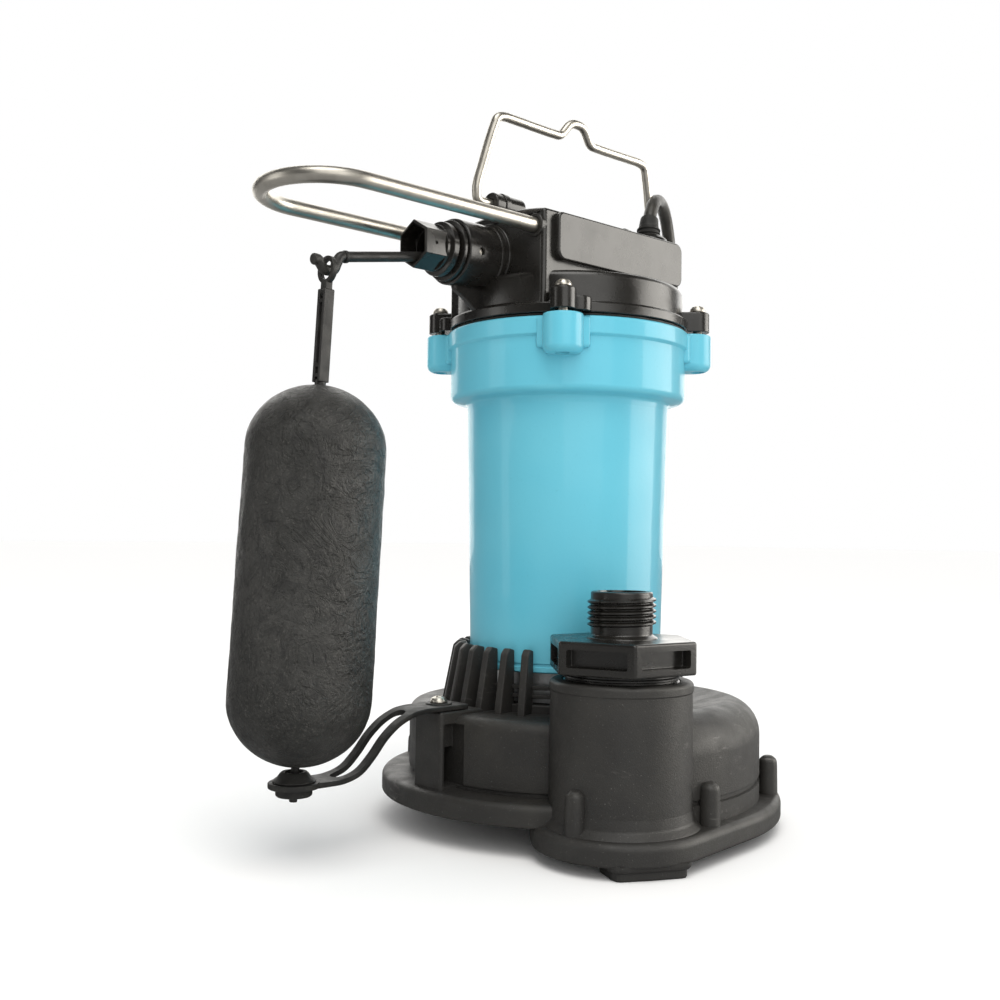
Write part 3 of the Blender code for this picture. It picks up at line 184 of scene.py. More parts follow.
class Finish:
    """A Principled material fed by procedural textures. A source is a texture's output or a noise's settings."""

    def __init__(self, name, colour, roughness, metallic=0.0, specular=0.5, coat=0.0, coat_roughness=0.1):
        self.mat = FINISHES[name] = bpy.data.materials.new(f"{name}_finish")
        self.mat.use_nodes = True
        self.tree = self.mat.node_tree
        self.shader = self.tree.nodes["Principled BSDF"]
        self.paint = (*colour, 1.0)
        values = {"Base Color": self.paint, "Roughness": roughness, "Metallic": metallic,
                  "Specular IOR Level": specular, "Coat Weight": coat, "Coat Roughness": coat_roughness}
        for socket, value in values.items():
            self.shader.inputs[socket].default_value = value
        self.where = node(self.tree, "TexCoord", {}, "Object")
        self.normal = {}

    def noise(self, scale, detail=3.0, rough=0.5, distortion=0.0, stretch=None):
        where = node(self.tree, "Mapping", {"Scale": stretch, "Vector": self.where}) if stretch else self.where
        return node(self.tree, "TexNoise", {"Scale": scale, "Detail": detail, "Roughness": rough,
                                            "Distortion": distortion, "Vector": where}, "Fac")

    def bands(self, scale, distortion=0.0):
        return node(self.tree, "TexWave", {"Scale": scale, "Distortion": distortion, "Vector": self.where}, "Fac",
                    bands_direction="Z")

    def value(self, source):
        return self.noise(*source) if isinstance(source, tuple) else source

    def ramp(self, source, low, high, out=(0.0, 1.0)):
        return node(self.tree, "MapRange", {"Value": self.value(source), "From Min": low, "From Max": high,
                                            "To Min": out[0], "To Max": out[1]}, "Result")

    def cover(self, colour, share):
        """Another colour shows wherever share is high."""
        self.paint = node(self.tree, "Mix", {0: share, 6: self.paint, 7: (*colour, 1.0)}, 2, data_type="RGBA")
        self.tree.links.new(self.paint, self.shader.inputs["Base Color"])

    def tint(self, colour, source, low, high, out=(0.0, 1.0)):
        self.cover(colour, self.ramp(source, low, high, out))

    def rough(self, source, low, high):
        self.tree.links.new(self.ramp(source, 0.3, 0.7, (low, high)), self.shader.inputs["Roughness"])

    def bump(self, source, strength, distance):
        inputs = {"Strength": strength, "Distance": distance, "Height": self.value(source), **self.normal}
        self.normal = {"Normal": node(self.tree, "Bump", inputs, "Normal")}
        self.tree.links.new(self.normal["Normal"], self.shader.inputs["Normal"])


def mix_finishes():
    """One finish for each material slot."""
    f = Finish("housing_blue", (0.115, 0.475, 0.61), 0.34, specular=0.16, coat=0.27, coat_roughness=0.05)
    f.tint((0.15, 0.52, 0.64), (14.0,), 0.35, 0.7)
    f.tint((0.10, 0.37, 0.47), (900.0, 2.0), 0.66, 0.8, (0.0, 0.35))
    f.rough((60.0,), 0.28, 0.42)
    f.bump((38.0, 1.0, 0.5, 0.0, (1.0, 1.0, 0.6)), 0.35, 0.0009)
    f.bump((420.0, 2.0), 0.25, 0.00016)

    f = Finish("cover_black", (0.008, 0.007, 0.006), 0.27, specular=0.7)
    f.tint((0.014, 0.013, 0.011), (22.0, 4.0), 0.4, 0.7)
    f.tint((0.05, 0.047, 0.04), (1400.0,), 0.67, 0.78, (0.0, 0.6))
    f.rough((90.0, 4.0), 0.2, 0.33)
    f.bump((1500.0, 3.0, 0.6), 0.3, 0.00012)
    f.bump((55.0, 2.0), 0.2, 0.0004)

    f = Finish("base_charcoal", (0.021, 0.020, 0.0185), 0.5)
    f.tint((0.032, 0.030, 0.026), (26.0, 5.0, 0.6), 0.4, 0.68)
    f.tint((0.15, 0.145, 0.135), (1700.0, 2.0), 0.68, 0.76, (0.0, 0.55))
    scuffs = f.ramp((150.0, 5.0, 0.7, 1.4, (0.35, 0.35, 1.6)), 0.6, 0.74)
    f.cover((0.17, 0.16, 0.15), node(f.tree, "Math", {0: scuffs, 1: f.ramp((17.0, 2.0), 0.45, 0.62)},
                                     operation="MULTIPLY"))
    f.rough((120.0, 4.0), 0.44, 0.62)
    f.bump((1300.0, 4.0, 0.65), 0.5, 0.00025)
    f.bump((70.0,), 0.2, 0.0004)

    f = Finish("float_foam", (0.012, 0.012, 0.010), 0.38, specular=0.6)
    f.tint((0.034, 0.033, 0.03), (26.0, 5.0, 0.6), 0.42, 0.66)
    f.tint((0.10, 0.096, 0.084), (1100.0, 4.0, 0.75, 0.5), 0.56, 0.72, (0.0, 0.7))
    f.tint((0.006, 0.006, 0.006), (85.0, 6.0, 0.7, 2.2, (1.0, 1.0, 0.7)), 0.5, 0.4, (0.0, 0.5))
    f.rough((190.0, 4.0), 0.32, 0.56)
    f.bump(f.ramp((62.0, 4.0, 0.6, 2.6), 0.47, 0.53), 0.55, 0.001)
    f.bump((150.0, 5.0, 0.65, 1.4), 0.7, 0.0015)
    f.bump((900.0, 4.0, 0.7, 0.4), 0.8, 0.0006)

    f = Finish("stainless", (0.62, 0.59, 0.53), 0.36, metallic=1.0)
    f.tint((0.46, 0.435, 0.385), (160.0, 4.0), 0.45, 0.7, (0.0, 0.5))
    f.tint((0.3, 0.28, 0.24), (900.0, 2.0), 0.68, 0.8, (0.0, 0.22))
    f.rough((240.0, 4.0), 0.32, 0.42)
    f.bump((600.0, 4.0, 0.6), 0.1, 0.0001)

    f = Finish("steel", (0.45, 0.45, 0.46), 0.35, metallic=1.0)
    f.tint((0.3, 0.3, 0.31), (90.0, 4.0), 0.4, 0.7)
    f.rough((300.0,), 0.28, 0.45)
    f.bump(f.bands(400.0), 0.12, 0.0001)

    f = Finish("lamination_steel", (0.26, 0.26, 0.27), 0.5, metallic=1.0)
    f.tint((0.12, 0.1, 0.09), f.bands(300.0), 0.1, 0.4, (0.8, 0.0))
    f.rough((200.0,), 0.42, 0.6)
    f.bump(f.bands(300.0), 0.5, 0.0003)

    f = Finish("copper", (0.72, 0.34, 0.16), 0.35, metallic=1.0)
    f.tint((0.42, 0.17, 0.07), f.bands(170.0, 5.0), 0.1, 0.5, (0.9, 0.0))
    f.rough((180.0,), 0.28, 0.45)
    f.bump(f.bands(170.0, 5.0), 0.7, 0.0008)

    f = Finish("cast_aluminium", (0.56, 0.57, 0.58), 0.42, metallic=1.0)
    f.tint((0.4, 0.41, 0.42), (80.0, 5.0), 0.4, 0.66)
    f.rough((260.0, 4.0), 0.36, 0.55)
    f.bump((700.0, 4.0, 0.65), 0.5, 0.0003)

    f = Finish("brass", (0.78, 0.62, 0.3), 0.28, metallic=1.0)
    f.tint((0.52, 0.38, 0.16), (150.0, 4.0), 0.45, 0.7, (0.0, 0.7))
    f.rough((300.0,), 0.2, 0.38)
    f.bump((800.0,), 0.2, 0.0001)

    f = Finish("rubber", (0.012, 0.012, 0.011), 0.55, specular=0.45)
    f.tint((0.024, 0.023, 0.02), (120.0, 5.0), 0.42, 0.7)
    f.tint((0.12, 0.118, 0.11), (1500.0, 2.0), 0.68, 0.78, (0.0, 0.5))
    f.rough((260.0, 4.0), 0.5, 0.72)
    f.bump((1100.0, 4.0, 0.6), 0.45, 0.0002)

    f = Finish("cord_black", (0.022, 0.02, 0.016), 0.42, specular=0.6)
    f.tint((0.042, 0.038, 0.03), (110.0, 4.0), 0.42, 0.7)
    f.rough((320.0,), 0.34, 0.52)
    f.bump((700.0,), 0.3, 0.00015)

    f = Finish("engineering_plastic", (0.012, 0.011, 0.01), 0.4, specular=0.55)
    f.tint((0.022, 0.021, 0.018), (140.0, 4.0), 0.42, 0.7)
    f.rough((220.0, 4.0), 0.36, 0.56)
    f.bump((1200.0, 3.0, 0.6), 0.35, 0.00015)


def dress_cad_nodes():
    """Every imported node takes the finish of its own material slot."""
    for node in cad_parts.values():
        for place in node.material_slots:
            name = place.material.name.split(".")[0] if place.material else "engineering_plastic"
            place.material = FINISHES.get(name, FINISHES["engineering_plastic"])


# ------------ mesh helpers

def polar(radius, degrees, centre=(0.0, 0.0)):
    angle = math.radians(degrees)
    return centre[0] + radius * math.cos(angle), centre[1] + radius * math.sin(angle)


def circle(radius, sides, centre=(0.0, 0.0), turn=0.0):
    return [polar(radius, turn + 360.0 * i / sides, centre) for i in range(sides)]


def arc(radius, start, end, steps, centre=(0.0, 0.0)):
    return [polar(radius, start + (end - start) * i / steps, centre) for i in range(steps + 1)]


def rounded(corners, steps=5):
    """Corners are (a, b) or (a, b, radius); each one with a radius becomes an arc."""
    out = []
    count = len(corners)
    for i, corner in enumerate(corners):
        if len(corner) < 3 or corner[2] <= 0:
            out.append(tuple(corner[:2]))
            continue
        p = Vector(corner[:2])
        a = Vector(corners[i - 1][:2]) - p
        b = Vector(corners[(i + 1) % count][:2]) - p
        half = a.angle(b) / 2
        reach = min(corner[2] / math.tan(half), a.length * 0.49, b.length * 0.49)
        a.normalize()
        b.normalize()
        radius = reach * math.tan(half)
        centre = p + (a + b).normalized() * (radius / math.sin(half))
        start, end = p + a * reach - centre, p + b * reach - centre
        first = math.atan2(start.y, start.x)
        sweep = (math.atan2(end.y, end.x) - first + math.pi) % (2 * math.pi) - math.pi
        for k in range(steps + 1):
            angle = first + sweep * k / steps
            out.append((centre.x + radius * math.cos(angle), centre.y + radius * math.sin(angle)))
    return out


def object_from(name, bm):
    bmesh.ops.remove_doubles(bm, verts=bm.verts, dist=1e-4)
    bmesh.ops.recalc_face_normals(bm, faces=bm.faces)
    mesh = bpy.data.meshes.new(name)
    bm.to_mesh(mesh)
    bm.free()
    return add(name, mesh)


def loft(name, rings, closed_ends=True):
    """Rings of points with one count are bridged in turn, and capped."""
    bm = bmesh.new()
    rows = [[bm.verts.new(p) for p in ring] for ring in rings]
    count = len(rows[0])
    for low, high in zip(rows, rows[1:]):
        for i in range(count):
            j = (i + 1) % count
            bm.faces.new((low[i], low[j], high[j], high[i]))
    if closed_ends:
        bm.faces.new(rows[0])
        bm.faces.new(rows[-1])
    return object_from(name, bm)


SWAP = {
    "XY": lambda a, b, h: (a, b, h),
    "XZ": lambda a, b, h: (a, h, b),
    "YZ": lambda a, b, h: (h, a, b),
}


def offset(outline, amount):
    """The outline moves inward by amount, along its corners' mitres."""
    area = sum(a[0] * b[1] - b[0] * a[1] for a, b in zip(outline, outline[1:] + outline[:1]))
    sign = 1.0 if area > 0 else -1.0
    moved = []
    count = len(outline)
    for i, (x, y) in enumerate(outline):
        before = (Vector((x, y)) - Vector(outline[i - 1])).normalized()
        after = (Vector(outline[(i + 1) % count]) - Vector((x, y))).normalized()
        normal = Vector((-before.y - after.y, before.x + after.x)) * sign
        if normal.length < 1e-6:
            moved.append((x, y))
            continue
        stretch = 2.0 / max(normal.length_squared, 1.0)
        moved.append((x + normal.x * amount * stretch, y + normal.y * amount * stretch))
    return moved


def slab(name, outline, low, high, soft_low=0.0, soft_high=0.0, plane="XY", steps=4):
    """An extruded outline whose two rims are rounded by the given radii."""
    def rim(face, soft, way):
        if not soft:
            return [(face, 0.0)]
        turns = [math.pi / 2 * k / steps for k in range(steps + 1)]
        return [(face + way * soft * (1 - math.sin(t)), soft * (1 - math.cos(t))) for t in turns]

    levels = rim(low, soft_low, 1)[::-1] + rim(high, soft_high, -1)
    return loft(name, [[SWAP[plane](a, b, h) for a, b in offset(outline, inset)] for h, inset in levels])


def lathe(name, profile, sides=96, at=(0.0, 0.0, 0.0), axis="Z"):
    """A closed profile of (radius, height) turns about an axis through at."""
    place = {
        "Z": lambda r, h, c, s: (at[0] + r * c, at[1] + r * s, at[2] + h),
        "X": lambda r, h, c, s: (at[0] + h, at[1] + r * c, at[2] + r * s),
        "Y": lambda r, h, c, s: (at[0] + r * c, at[1] + h, at[2] + r * s),
    }[axis]
    bm = bmesh.new()
    rows = []
    for r, h in profile:
        if r < 1e-6:
            rows.append([bm.verts.new(place(0.0, h, 1.0, 0.0))])
            continue
        row = []
        for i in range(sides):
            angle = 2 * math.pi * i / sides
            row.append(bm.verts.new(place(r, h, math.cos(angle), math.sin(angle))))
        rows.append(row)
    for low, high in zip(rows, rows[1:] + rows[:1]):
        if len(low) == 1 and len(high) == 1:
            continue
        for i in range(sides):
            j = (i + 1) % sides
            corners = [low[i % len(low)], low[j % len(low)], high[j % len(high)], high[i % len(high)]]
            unique = [v for k, v in enumerate(corners) if v not in corners[:k]]
            if len(unique) > 2:
                bm.faces.new(unique)
    return object_from(name, bm)


def tube(name, path, radius, sides=20, soft=0.6):
    """A round wire with softened ends; radius may be one number or a number for each point."""
    path = [Vector(p) for p in path]
    radii = list(radius) if hasattr(radius, "__len__") else [radius] * len(path)
    tangents = [(b - a).normalized() for a, b in zip(path[:1] + path, path[1:] + path[-1:])]
    up = Vector((0, 0, 1)) if abs(tangents[0].z) < 0.9 else Vector((1, 0, 0))
    side = tangents[0].cross(up).normalized()
    stations = []
    for point, tangent, r in zip(path, tangents, radii):
        side = (side - tangent * side.dot(tangent)).normalized()
        stations.append((point, tangent, side, r))

    def cap(station, way, levels):
        point, tangent, across, r = station
        turns = [math.pi / 2 * k / 3 for k in levels]
        return [(point - tangent * soft * (math.cos(a) - 1.0) * way, tangent, across, r - soft * (1 - math.sin(a)))
                for a in turns]

    if soft:
        stations = cap(stations[0], 1, (0, 1, 2)) + stations[1:-1] + cap(stations[-1], -1, (3, 2, 1, 0))
    rings = []
    for point, tangent, across, r in stations:
        other = tangent.cross(across).normalized()
        turns = [2 * math.pi * i / sides for i in range(sides)]
        rings.append([point + across * (r * math.cos(a)) + other * (r * math.sin(a)) for a in turns])
    return loft(name, rings)


def rod(name, radius, start, end, sides=32, soft=0.4):
    start, end = Vector(start), Vector(end)
    return tube(name, [start, start.lerp(end, 0.5), end], radius, sides, soft=soft)


def rectangle(left, low, right, high, soft=0.0, steps=4):
    return rounded([(left, low, soft), (right, low, soft), (right, high, soft), (left, high, soft)], steps)


def box(name, low, high, soft=0.0):
    return slab(name, rectangle(*low[:2], *high[:2], soft), low[2], high[2], soft, soft)


def puck(name, radius, low, high, soft, sides, at, axis="Z", steps=3):
    """A disc with softened rims, turned about an axis through at."""
    profile = rounded([(0, low), (radius, low, soft), (radius, high, soft), (0, high)], steps)
    return lathe(name, profile, sides, at, axis)


def spun(outline, degrees):
    """The flat outline turns about the origin."""
    c, s = polar(1.0, degrees)
    return [(x * c - y * s, x * s + y * c) for x, y in outline]


def boolean(target, tool, operation):
    modifier = target.modifiers.new("boolean", "BOOLEAN")
    modifier.operation = operation
    modifier.solver = "MANIFOLD"
    modifier.object = tool
    mesh = bpy.data.meshes.new_from_object(target.evaluated_get(bpy.context.evaluated_depsgraph_get()))
    target.modifiers.clear()
    old, target.data = target.data, mesh
    if not len(mesh.polygons):
        raise RuntimeError(f"{tool.name} left nothing of {target.name}")
    bpy.data.meshes.remove(old)
    bpy.data.objects.remove(tool, do_unlink=True)


def unite(target, tool):
    boolean(target, tool, "UNION")


def cut(target, tool):
    boolean(target, tool, "DIFFERENCE")


def drill(target, radius, at, low, high, sides, name="hole"):
    """An upright hole, from one height to another."""
    cut(target, rod(name, radius, (*at, low), (*at, high), sides, 0))


def notch(screw, at, reach, half, low, high, degrees):
    """A straight slot in a screw's head."""
    slot = box("slot", (at[0] - reach, at[1] - half, low), (at[0] + reach, at[1] + half, high))
    cut(screw, turned(slot, degrees, at))


def join(target, others):
    """Separate closed shells become one mesh, without a Boolean."""
    bm = bmesh.new()
    for obj in [target, *others]:
        bm.from_mesh(obj.data)
    bm.to_mesh(target.data)
    bm.free()
    for obj in others:
        bpy.data.objects.remove(obj, do_unlink=True)
    return target


def spaced(points, spacing):
    """A line sampled again at an even spacing, from its first point to its last."""
    reach = [0.0]
    for a, b in zip(points, points[1:]):
        reach.append(reach[-1] + (b - a).length)
    count = max(2, round(reach[-1] / spacing))
    out, i = [], 0
    for k in range(count + 1):
        want = reach[-1] * k / count
        while i < len(reach) - 2 and reach[i + 1] < want:
            i += 1
        out.append(points[i].lerp(points[i + 1], (want - reach[i]) / max(reach[i + 1] - reach[i], 1e-9)))
    return out


def smooth_path(points, spacing):
    """A Catmull-Rom curve through the points, sampled at an even spacing."""
    dense = []
    padded = [points[0], *points, points[-1]]
    for i in range(1, len(padded) - 2):
        p0, p1, p2, p3 = (Vector(p) for p in padded[i - 1:i + 3])
        for k in range(16):
            t = k / 16
            dense.append(0.5 * (2 * p1 + (p2 - p0) * t + (2 * p0 - 5 * p1 + 4 * p2 - p3) * t * t
                                + (3 * p1 - p0 - 3 * p2 + p3) * t ** 3))
    return spaced(dense + [Vector(points[-1])], spacing)


def piece(obj, slot, body="root", nodes=(), angle=30.0):
    """A finished shape goes into the row's frame, takes its finish, and rides on its body."""
    obj.data.transform(PLACE)
    obj.data.materials.clear()
    obj.data.materials.append(FINISHES[slot])
    obj.data.shade_smooth()
    obj.data.set_sharp_from_angle(angle=math.radians(angle))
    weigh = obj.modifiers.new("weighted_normals", "WEIGHTED_NORMAL")
    weigh.keep_sharp = True
    weigh.weight = 80
    if body:
        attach(obj, body)
    if nodes:
        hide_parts(*nodes)
    return obj


def turned(obj, degrees, centre=(0.0, 0.0), axis="Z"):
    """The mesh turns about an axis through centre."""
    shift = Vector((centre[0], centre[1], 0.0)) if axis == "Z" else Vector(centre)
    turn = Matrix.Translation(shift) @ Matrix.Rotation(math.radians(degrees), 4, axis)
    obj.data.transform(turn @ Matrix.Translation(-shift))
    return obj


# ------------ motor housing

def tab_outline(degrees, inner, outer, width, steps=8):
    """A tab that runs out from the motor's axis and ends in a half round."""
    half = width / 2
    shape = [(inner, -half), (outer - half, -half)]
    shape += arc(half, -90, 90, steps, (outer - half, 0.0))[1:-1]
    shape += [(outer - half, half), (inner, half)]
    return spun(shape, degrees)


def motor_housing():
    profile = rounded([
        (40.3, 217.3), (54.8, 217.3, 1.2), (54.8, 209.9, 0.8), (53.4, 208.9, 0.5),
        (53.3, 186.6, 2.8), (45.9, 185.2, 1.6), (45.5, 182.0, 0.6),
        (44.2, 130.0), (43.0, 73.2), (43.0, 71.9, 0.3), (42.4, 71.5), (42.4, 70.6), (43.1, 70.2, 0.3),
        (43.1, 68.0, 0.6), (40.3, 68.0),
    ], 5)
    body = lathe("housing_paint", profile, 160)
    root = rounded([(50.0, -11.5), (54.2, -11.0, 1.0), (56.5, -7.0, 2.0), (56.5, 7.0, 2.0), (54.2, 11.0, 1.0),
                    (50.0, 11.5)], 4)
    for degrees in EAR_ANGLES:
        unite(body, slab("ear", tab_outline(degrees, 47.0, 65.0, 17.0, 14), 200.6, 217.2, 3.4, 0.9, steps=7))
        unite(body, slab("ear_root", spun(root, degrees), 203.6, 216.6, 1.5, 0.9))
    for degrees in EAR_ANGLES:
        profile = [(0, 190.0), (3.2, 190.0), (3.2, 201.4), (2.6, 202.0), (2.6, 219.0), (0, 219.0)]
        cut(body, lathe("hole", profile, 24, (*polar(SCREW_CIRCLE, degrees), 0)))
    piece(body, "housing_blue", nodes=["motor_housing"])


def cover_screws():
    """Domed screws with a crossed slot."""
    for i, degrees in enumerate(EAR_ANGLES):
        x, y = polar(SCREW_CIRCLE, degrees)
        head = 227.9
        profile = [(0, head + 3.1), (1.4, head + 3.0), (2.6, head + 2.5), (3.3, head + 1.6), (3.6, head + 0.7),
                   (3.6, head + 0.25), (3.4, head), (2.05, head), (2.05, 204.4), (1.2, 203.2), (0, 203.0)]
        screw = lathe(f"cover_screw_{i + 1}_fine", profile, 40, (x, y, 0))
        notch(screw, (x, y), 4.2, 0.45, head + 1.7, head + 4, 25 + 37 * i)
        notch(screw, (x, y), 1.7, 0.4, head + 1.3, head + 4, 115 + 37 * i)
        piece(screw, "stainless", nodes=[f"cover_screw_{i + 1}"], angle=28)


# ------------ top cover

def cover_section(inset):
    """The crowned cross-section of the switch box, as (y, z)."""
    half, low, top = 30.0 - inset, 221.5, 262.4 - inset
    points = [(-half, low), (half, low)]
    for i in range(25):
        share = i / 24
        crown = 3.0 * (1 - (2 * share - 1) ** 2)
        points.append((half * (1 - 2 * share), top + crown))
    points[2] = (half, top, 2.6)
    points[-1] = (-half, top, 2.6)
    return rounded(points, 6)


def top_cover():
    profile = rounded([
        (0, 237.0), (52.0, 237.0, 3.2), (52.0, 223.4, 0.8), (54.4, 222.8, 0.9), (54.4, 218.6, 0.5), (0, 218.6),
    ], 6)
    shell = lathe("cover_shell", profile, 160)
    unite(shell, slab("box", cover_section(0.0), -46.0, 44.0, 2.2, 2.2, "YZ", 5))
    pad = rounded([(-40.0, 241.3, 4.2), (42.0, 241.3, 4.2), (42.0, 261.6, 4.2), (-40.0, 261.6, 3.4)], 7)
    unite(shell, slab("pad", pad, -33.0, -28.0, 1.1, 0.0, "XZ", 5))
    barrel = rounded([
        (0, -44.0), (15.4, -44.0), (15.4, -47.6, 0.5), (14.6, -47.9), (14.6, -50.2), (14.0, -50.6, 0.3),
        (14.0, -68.5, 0.9), (12.4, -68.5, 0.3), (12.1, -67.9), (0, -67.9),
    ], 4)
    unite(shell, lathe("barrel", barrel, 96, (0, SWITCH_Y, BARREL_Z), "X"))
    web = rounded([(-66.2, 236.0), (-66.2, 230.0, 2.0), (-60.0, 226.6, 6.0), (-51.0, 220.0, 2.0),
                   (-45.0, 219.4), (-45.0, 236.0)], 6)
    unite(shell, slab("gusset", web, SWITCH_Y - 1.4, SWITCH_Y + 1.4, 0.5, 0.5, "XZ", 3))
    for degrees in EAR_ANGLES:
        unite(shell, slab("boss", tab_outline(degrees, 47.0, 64.3, 10.6, 14), 218.6, 227.6, 0.4, 0.9))
        wing = tab_outline(degrees + 7.0, 49.0, 59.0, 10.0, 8)
        unite(shell, slab("wing", wing, 218.6, 224.6, 0.3, 0.8))
    for side in (-1, 1):
        ends = sorted((side * 49.0, side * 32.0))
        unite(shell, puck("handle_boss", 5.0, *ends, 0.7, 48, (0, 0, HANDLE_PIVOT_Z), "X"))
        lows = sorted((side * 45.5, side * 32.5))
        unite(shell, box("boss_root", (lows[0], -4.4, 258.0), (lows[1], 4.4, HANDLE_PIVOT_Z - 0.7), 0.5))
        unite(shell, puck("boss_band", 5.5, ends[0] + 5, ends[0] + 8, 0.4, 48, (0, 0, HANDLE_PIVOT_Z), "X"))
    gland = rounded([(0, 260.0), (10.4, 260.0), (8.4, 264.4, 1.2), (6.6, 266.0, 0.5), (0, 266.0)], 5)
    unite(shell, lathe("gland_flare", gland, 64, (*RELIEF, 0)))
    rim = rounded([(0, -44.0), (5.0, -44.0), (5.0, -46.9, 0.5), (0, -46.9)], 3)
    for y in HOOP_LEGS:
        unite(shell, lathe("hoop_rim", rim, 40, (0, y, HOOP_Z), "X"))
    cover_cuts(shell)
    piece(shell, "cover_black", nodes=["top_cover"], angle=28)


def cover_cuts(shell):
    cut(shell, lathe("well", [(0, 216.0), (47.5, 216.0), (47.5, 233.0), (0, 233.0)], 96))
    cut(shell, box("room", (-42.0, -26.0, 232.0), (40.0, 26.0, 258.4)))
    cut(shell, rod("bore", 10.6, (-69.5, SWITCH_Y, BARREL_Z), (-41.0, SWITCH_Y, BARREL_Z), 64, 0))
    cut(shell, rod("pin_hole", 1.6, (PIVOT.x, SWITCH_Y - 20, PIVOT.z), (PIVOT.x, SWITCH_Y + 20, PIVOT.z), 24, 0))
    for y in HOOP_LEGS:
        cut(shell, rod("hoop_hole", 3.45, (-48.0, y, HOOP_Z), (-40.0, y, HOOP_Z), 32, 0))
    for side in (-1, 1):
        start, end = (side * 50.0, 0.0, HANDLE_PIVOT_Z), (side * 36.5, 0.0, HANDLE_PIVOT_Z)
        cut(shell, rod("pivot_hole", 2.3, start, end, 24, 0))
    for degrees in EAR_ANGLES:
        drill(shell, 2.5, polar(SCREW_CIRCLE, degrees), 216.0, 230.0, 24)
    drill(shell, 4.5, RELIEF, 254.0, 268.0, 32, "gland_hole")


def switch_nut():
    """A thin hexagonal socket that closes the barrel; the lever comes out low in its recess."""
    at = (0, SWITCH_Y, BARREL_Z)
    hexagon = [(*p, 0.7) for p in circle(SOCKET_FLATS / math.sqrt(3), 6, (SWITCH_Y, BARREL_Z), 90)]
    nut = slab("socket_nut", rounded(hexagon, 4), -88.0, -76.8, 0.5, 0.3, "YZ", 4)
    steps = rounded([
        (0, -65.9), (10.2, -65.9, 0.3), (10.2, -68.8), (12.8, -68.8, 0.3), (12.8, -70.6, 0.4), (9.8, -71.1),
        (9.8, -71.9), (11.4, -72.3, 0.3), (11.4, -75.0, 0.4), (9.8, -75.5), (9.8, -77.4, 0.3), (0, -77.4),
    ], 3)
    unite(nut, lathe("collar", steps, 72, at, "X"))
    cut(nut, rod("through", 7.3, (-84.0, SWITCH_Y, BARREL_Z), (-64.0, SWITCH_Y, BARREL_Z), 48, 0))
    recess = [(*p, 0.6) for p in circle((SOCKET_FLATS - 2.2) / math.sqrt(3), 6, (SWITCH_Y, BARREL_Z), 90)]
    cut(nut, slab("recess", rounded(recess, 4), -90.0, -80.0, 0, 0.4, "YZ", 3))
    spot = Vector((-82.5, SWITCH_Y - 8.9, BARREL_Z - 0.2))
    cut(nut, rod("dot", 0.75, spot, spot + Vector((0, 0.9, 0)), 16, 0))
    piece(nut, "cover_black", nodes=["switch_nut"], angle=28)


def lever_point(distance, lift=0.0):
    c, s = polar(1.0, LEVER_DROOP)
    return Vector((PIVOT.x - distance * c - lift * s, SWITCH_Y, PIVOT.z - distance * s + lift * c))


def lever_boot():
    """A pleated rubber boot seals the nut's bore round the lever."""
    rings, pleats = [], 4
    wide = Vector((-71.2, SWITCH_Y, BARREL_Z))
    narrow = lever_point(17.6)
    count = 25
    for i in range(count):
        share = i / (count - 1)
        pleat = 0.45 * math.cos(share * pleats * 2 * math.pi) * (1 - abs(2 * share - 1))
        rings.append((wide.lerp(narrow, share), 6.9 + (2.6 - 6.9) * share + pleat))
    rings.append((narrow + Vector((0.05, 0, 0)), 2.25))
    for i in range(count - 1, -1, -1):
        share = i / (count - 1)
        rings.append((wide.lerp(narrow, share) + Vector((0.5, 0, 0)), max(2.2, 6.1 + (2.2 - 6.1) * share)))
    loops = []
    for centre, radius in rings:
        loops.append([(centre.x, centre.y + radius * math.cos(a), centre.z + radius * math.sin(a))
                      for a in (2 * math.pi * k / 48 for k in range(48))])
    loops.append(loops[0])
    boot = loft("lever_bellows", loops, False)
    piece(boot, "rubber", body=None, nodes=["lever_boot"], angle=50)
    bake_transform(boot)


def lever_arm():
    """A straight rod from its hub to a hook that holds the float's eye."""
    hook = [(-125.6, 231.0), (-126.4, 229.0), (-127.5, 227.8), (-129.6, 227.5), (-131.6, 227.7), (-133.0, 229.4),
            (-134.4, 230.8), (-136.9, 230.8)]
    bend = [lever_point(distance) for distance in (2.0, 20.0, 40.0, 58.0, 62.6)]
    path = smooth_path(bend + [Vector((x, SWITCH_Y, z)) for x, z in hook], 0.8)
    count = len(path)
    radii = [2.1 if k < count - 5 else 2.25 for k in range(count)]
    lever = tube("lever_rod", path, radii, 28, soft=0.8)
    unite(lever, puck("hub", 3.6, -3.5, 3.5, 0.5, 40, PIVOT, "Y"))
    unite(lever, rod("finger", 1.5, (-60.0, SWITCH_Y, PIVOT.z + 1), (-60.0, SWITCH_Y, 250.2), 20, 0.5))
    spot = lever_point(60.5)
    unite(lever, turned(puck("band", 2.5, -0.9, 0.9, 0.4, 28, spot, "X", 2), -LEVER_DROOP, spot, "Y"))
    cut(lever, rod("pin_hole", 1.6, (PIVOT.x, SWITCH_Y - 6, PIVOT.z), (PIVOT.x, SWITCH_Y + 6, PIVOT.z), 24, 0))
    piece(lever, "engineering_plastic", "lever", ["lever_arm"], 35)


def guard_hoop():
    y_low, y_high = HOOP_LEGS
    middle, radius = (y_low + y_high) / 2, (y_high - y_low) / 2
    path = [(-40.5 - 6.0 * i, y_high, HOOP_Z) for i in range(16)]
    path += [(*p, HOOP_Z) for p in arc(radius, 90, 270, 72, (-133.0, middle))]
    path += [(-130.5 + 6.0 * i, y_low, HOOP_Z) for i in range(16)]
    piece(tube("hoop_wire", path, 3.15, 32), "stainless", nodes=["guard_hoop"])


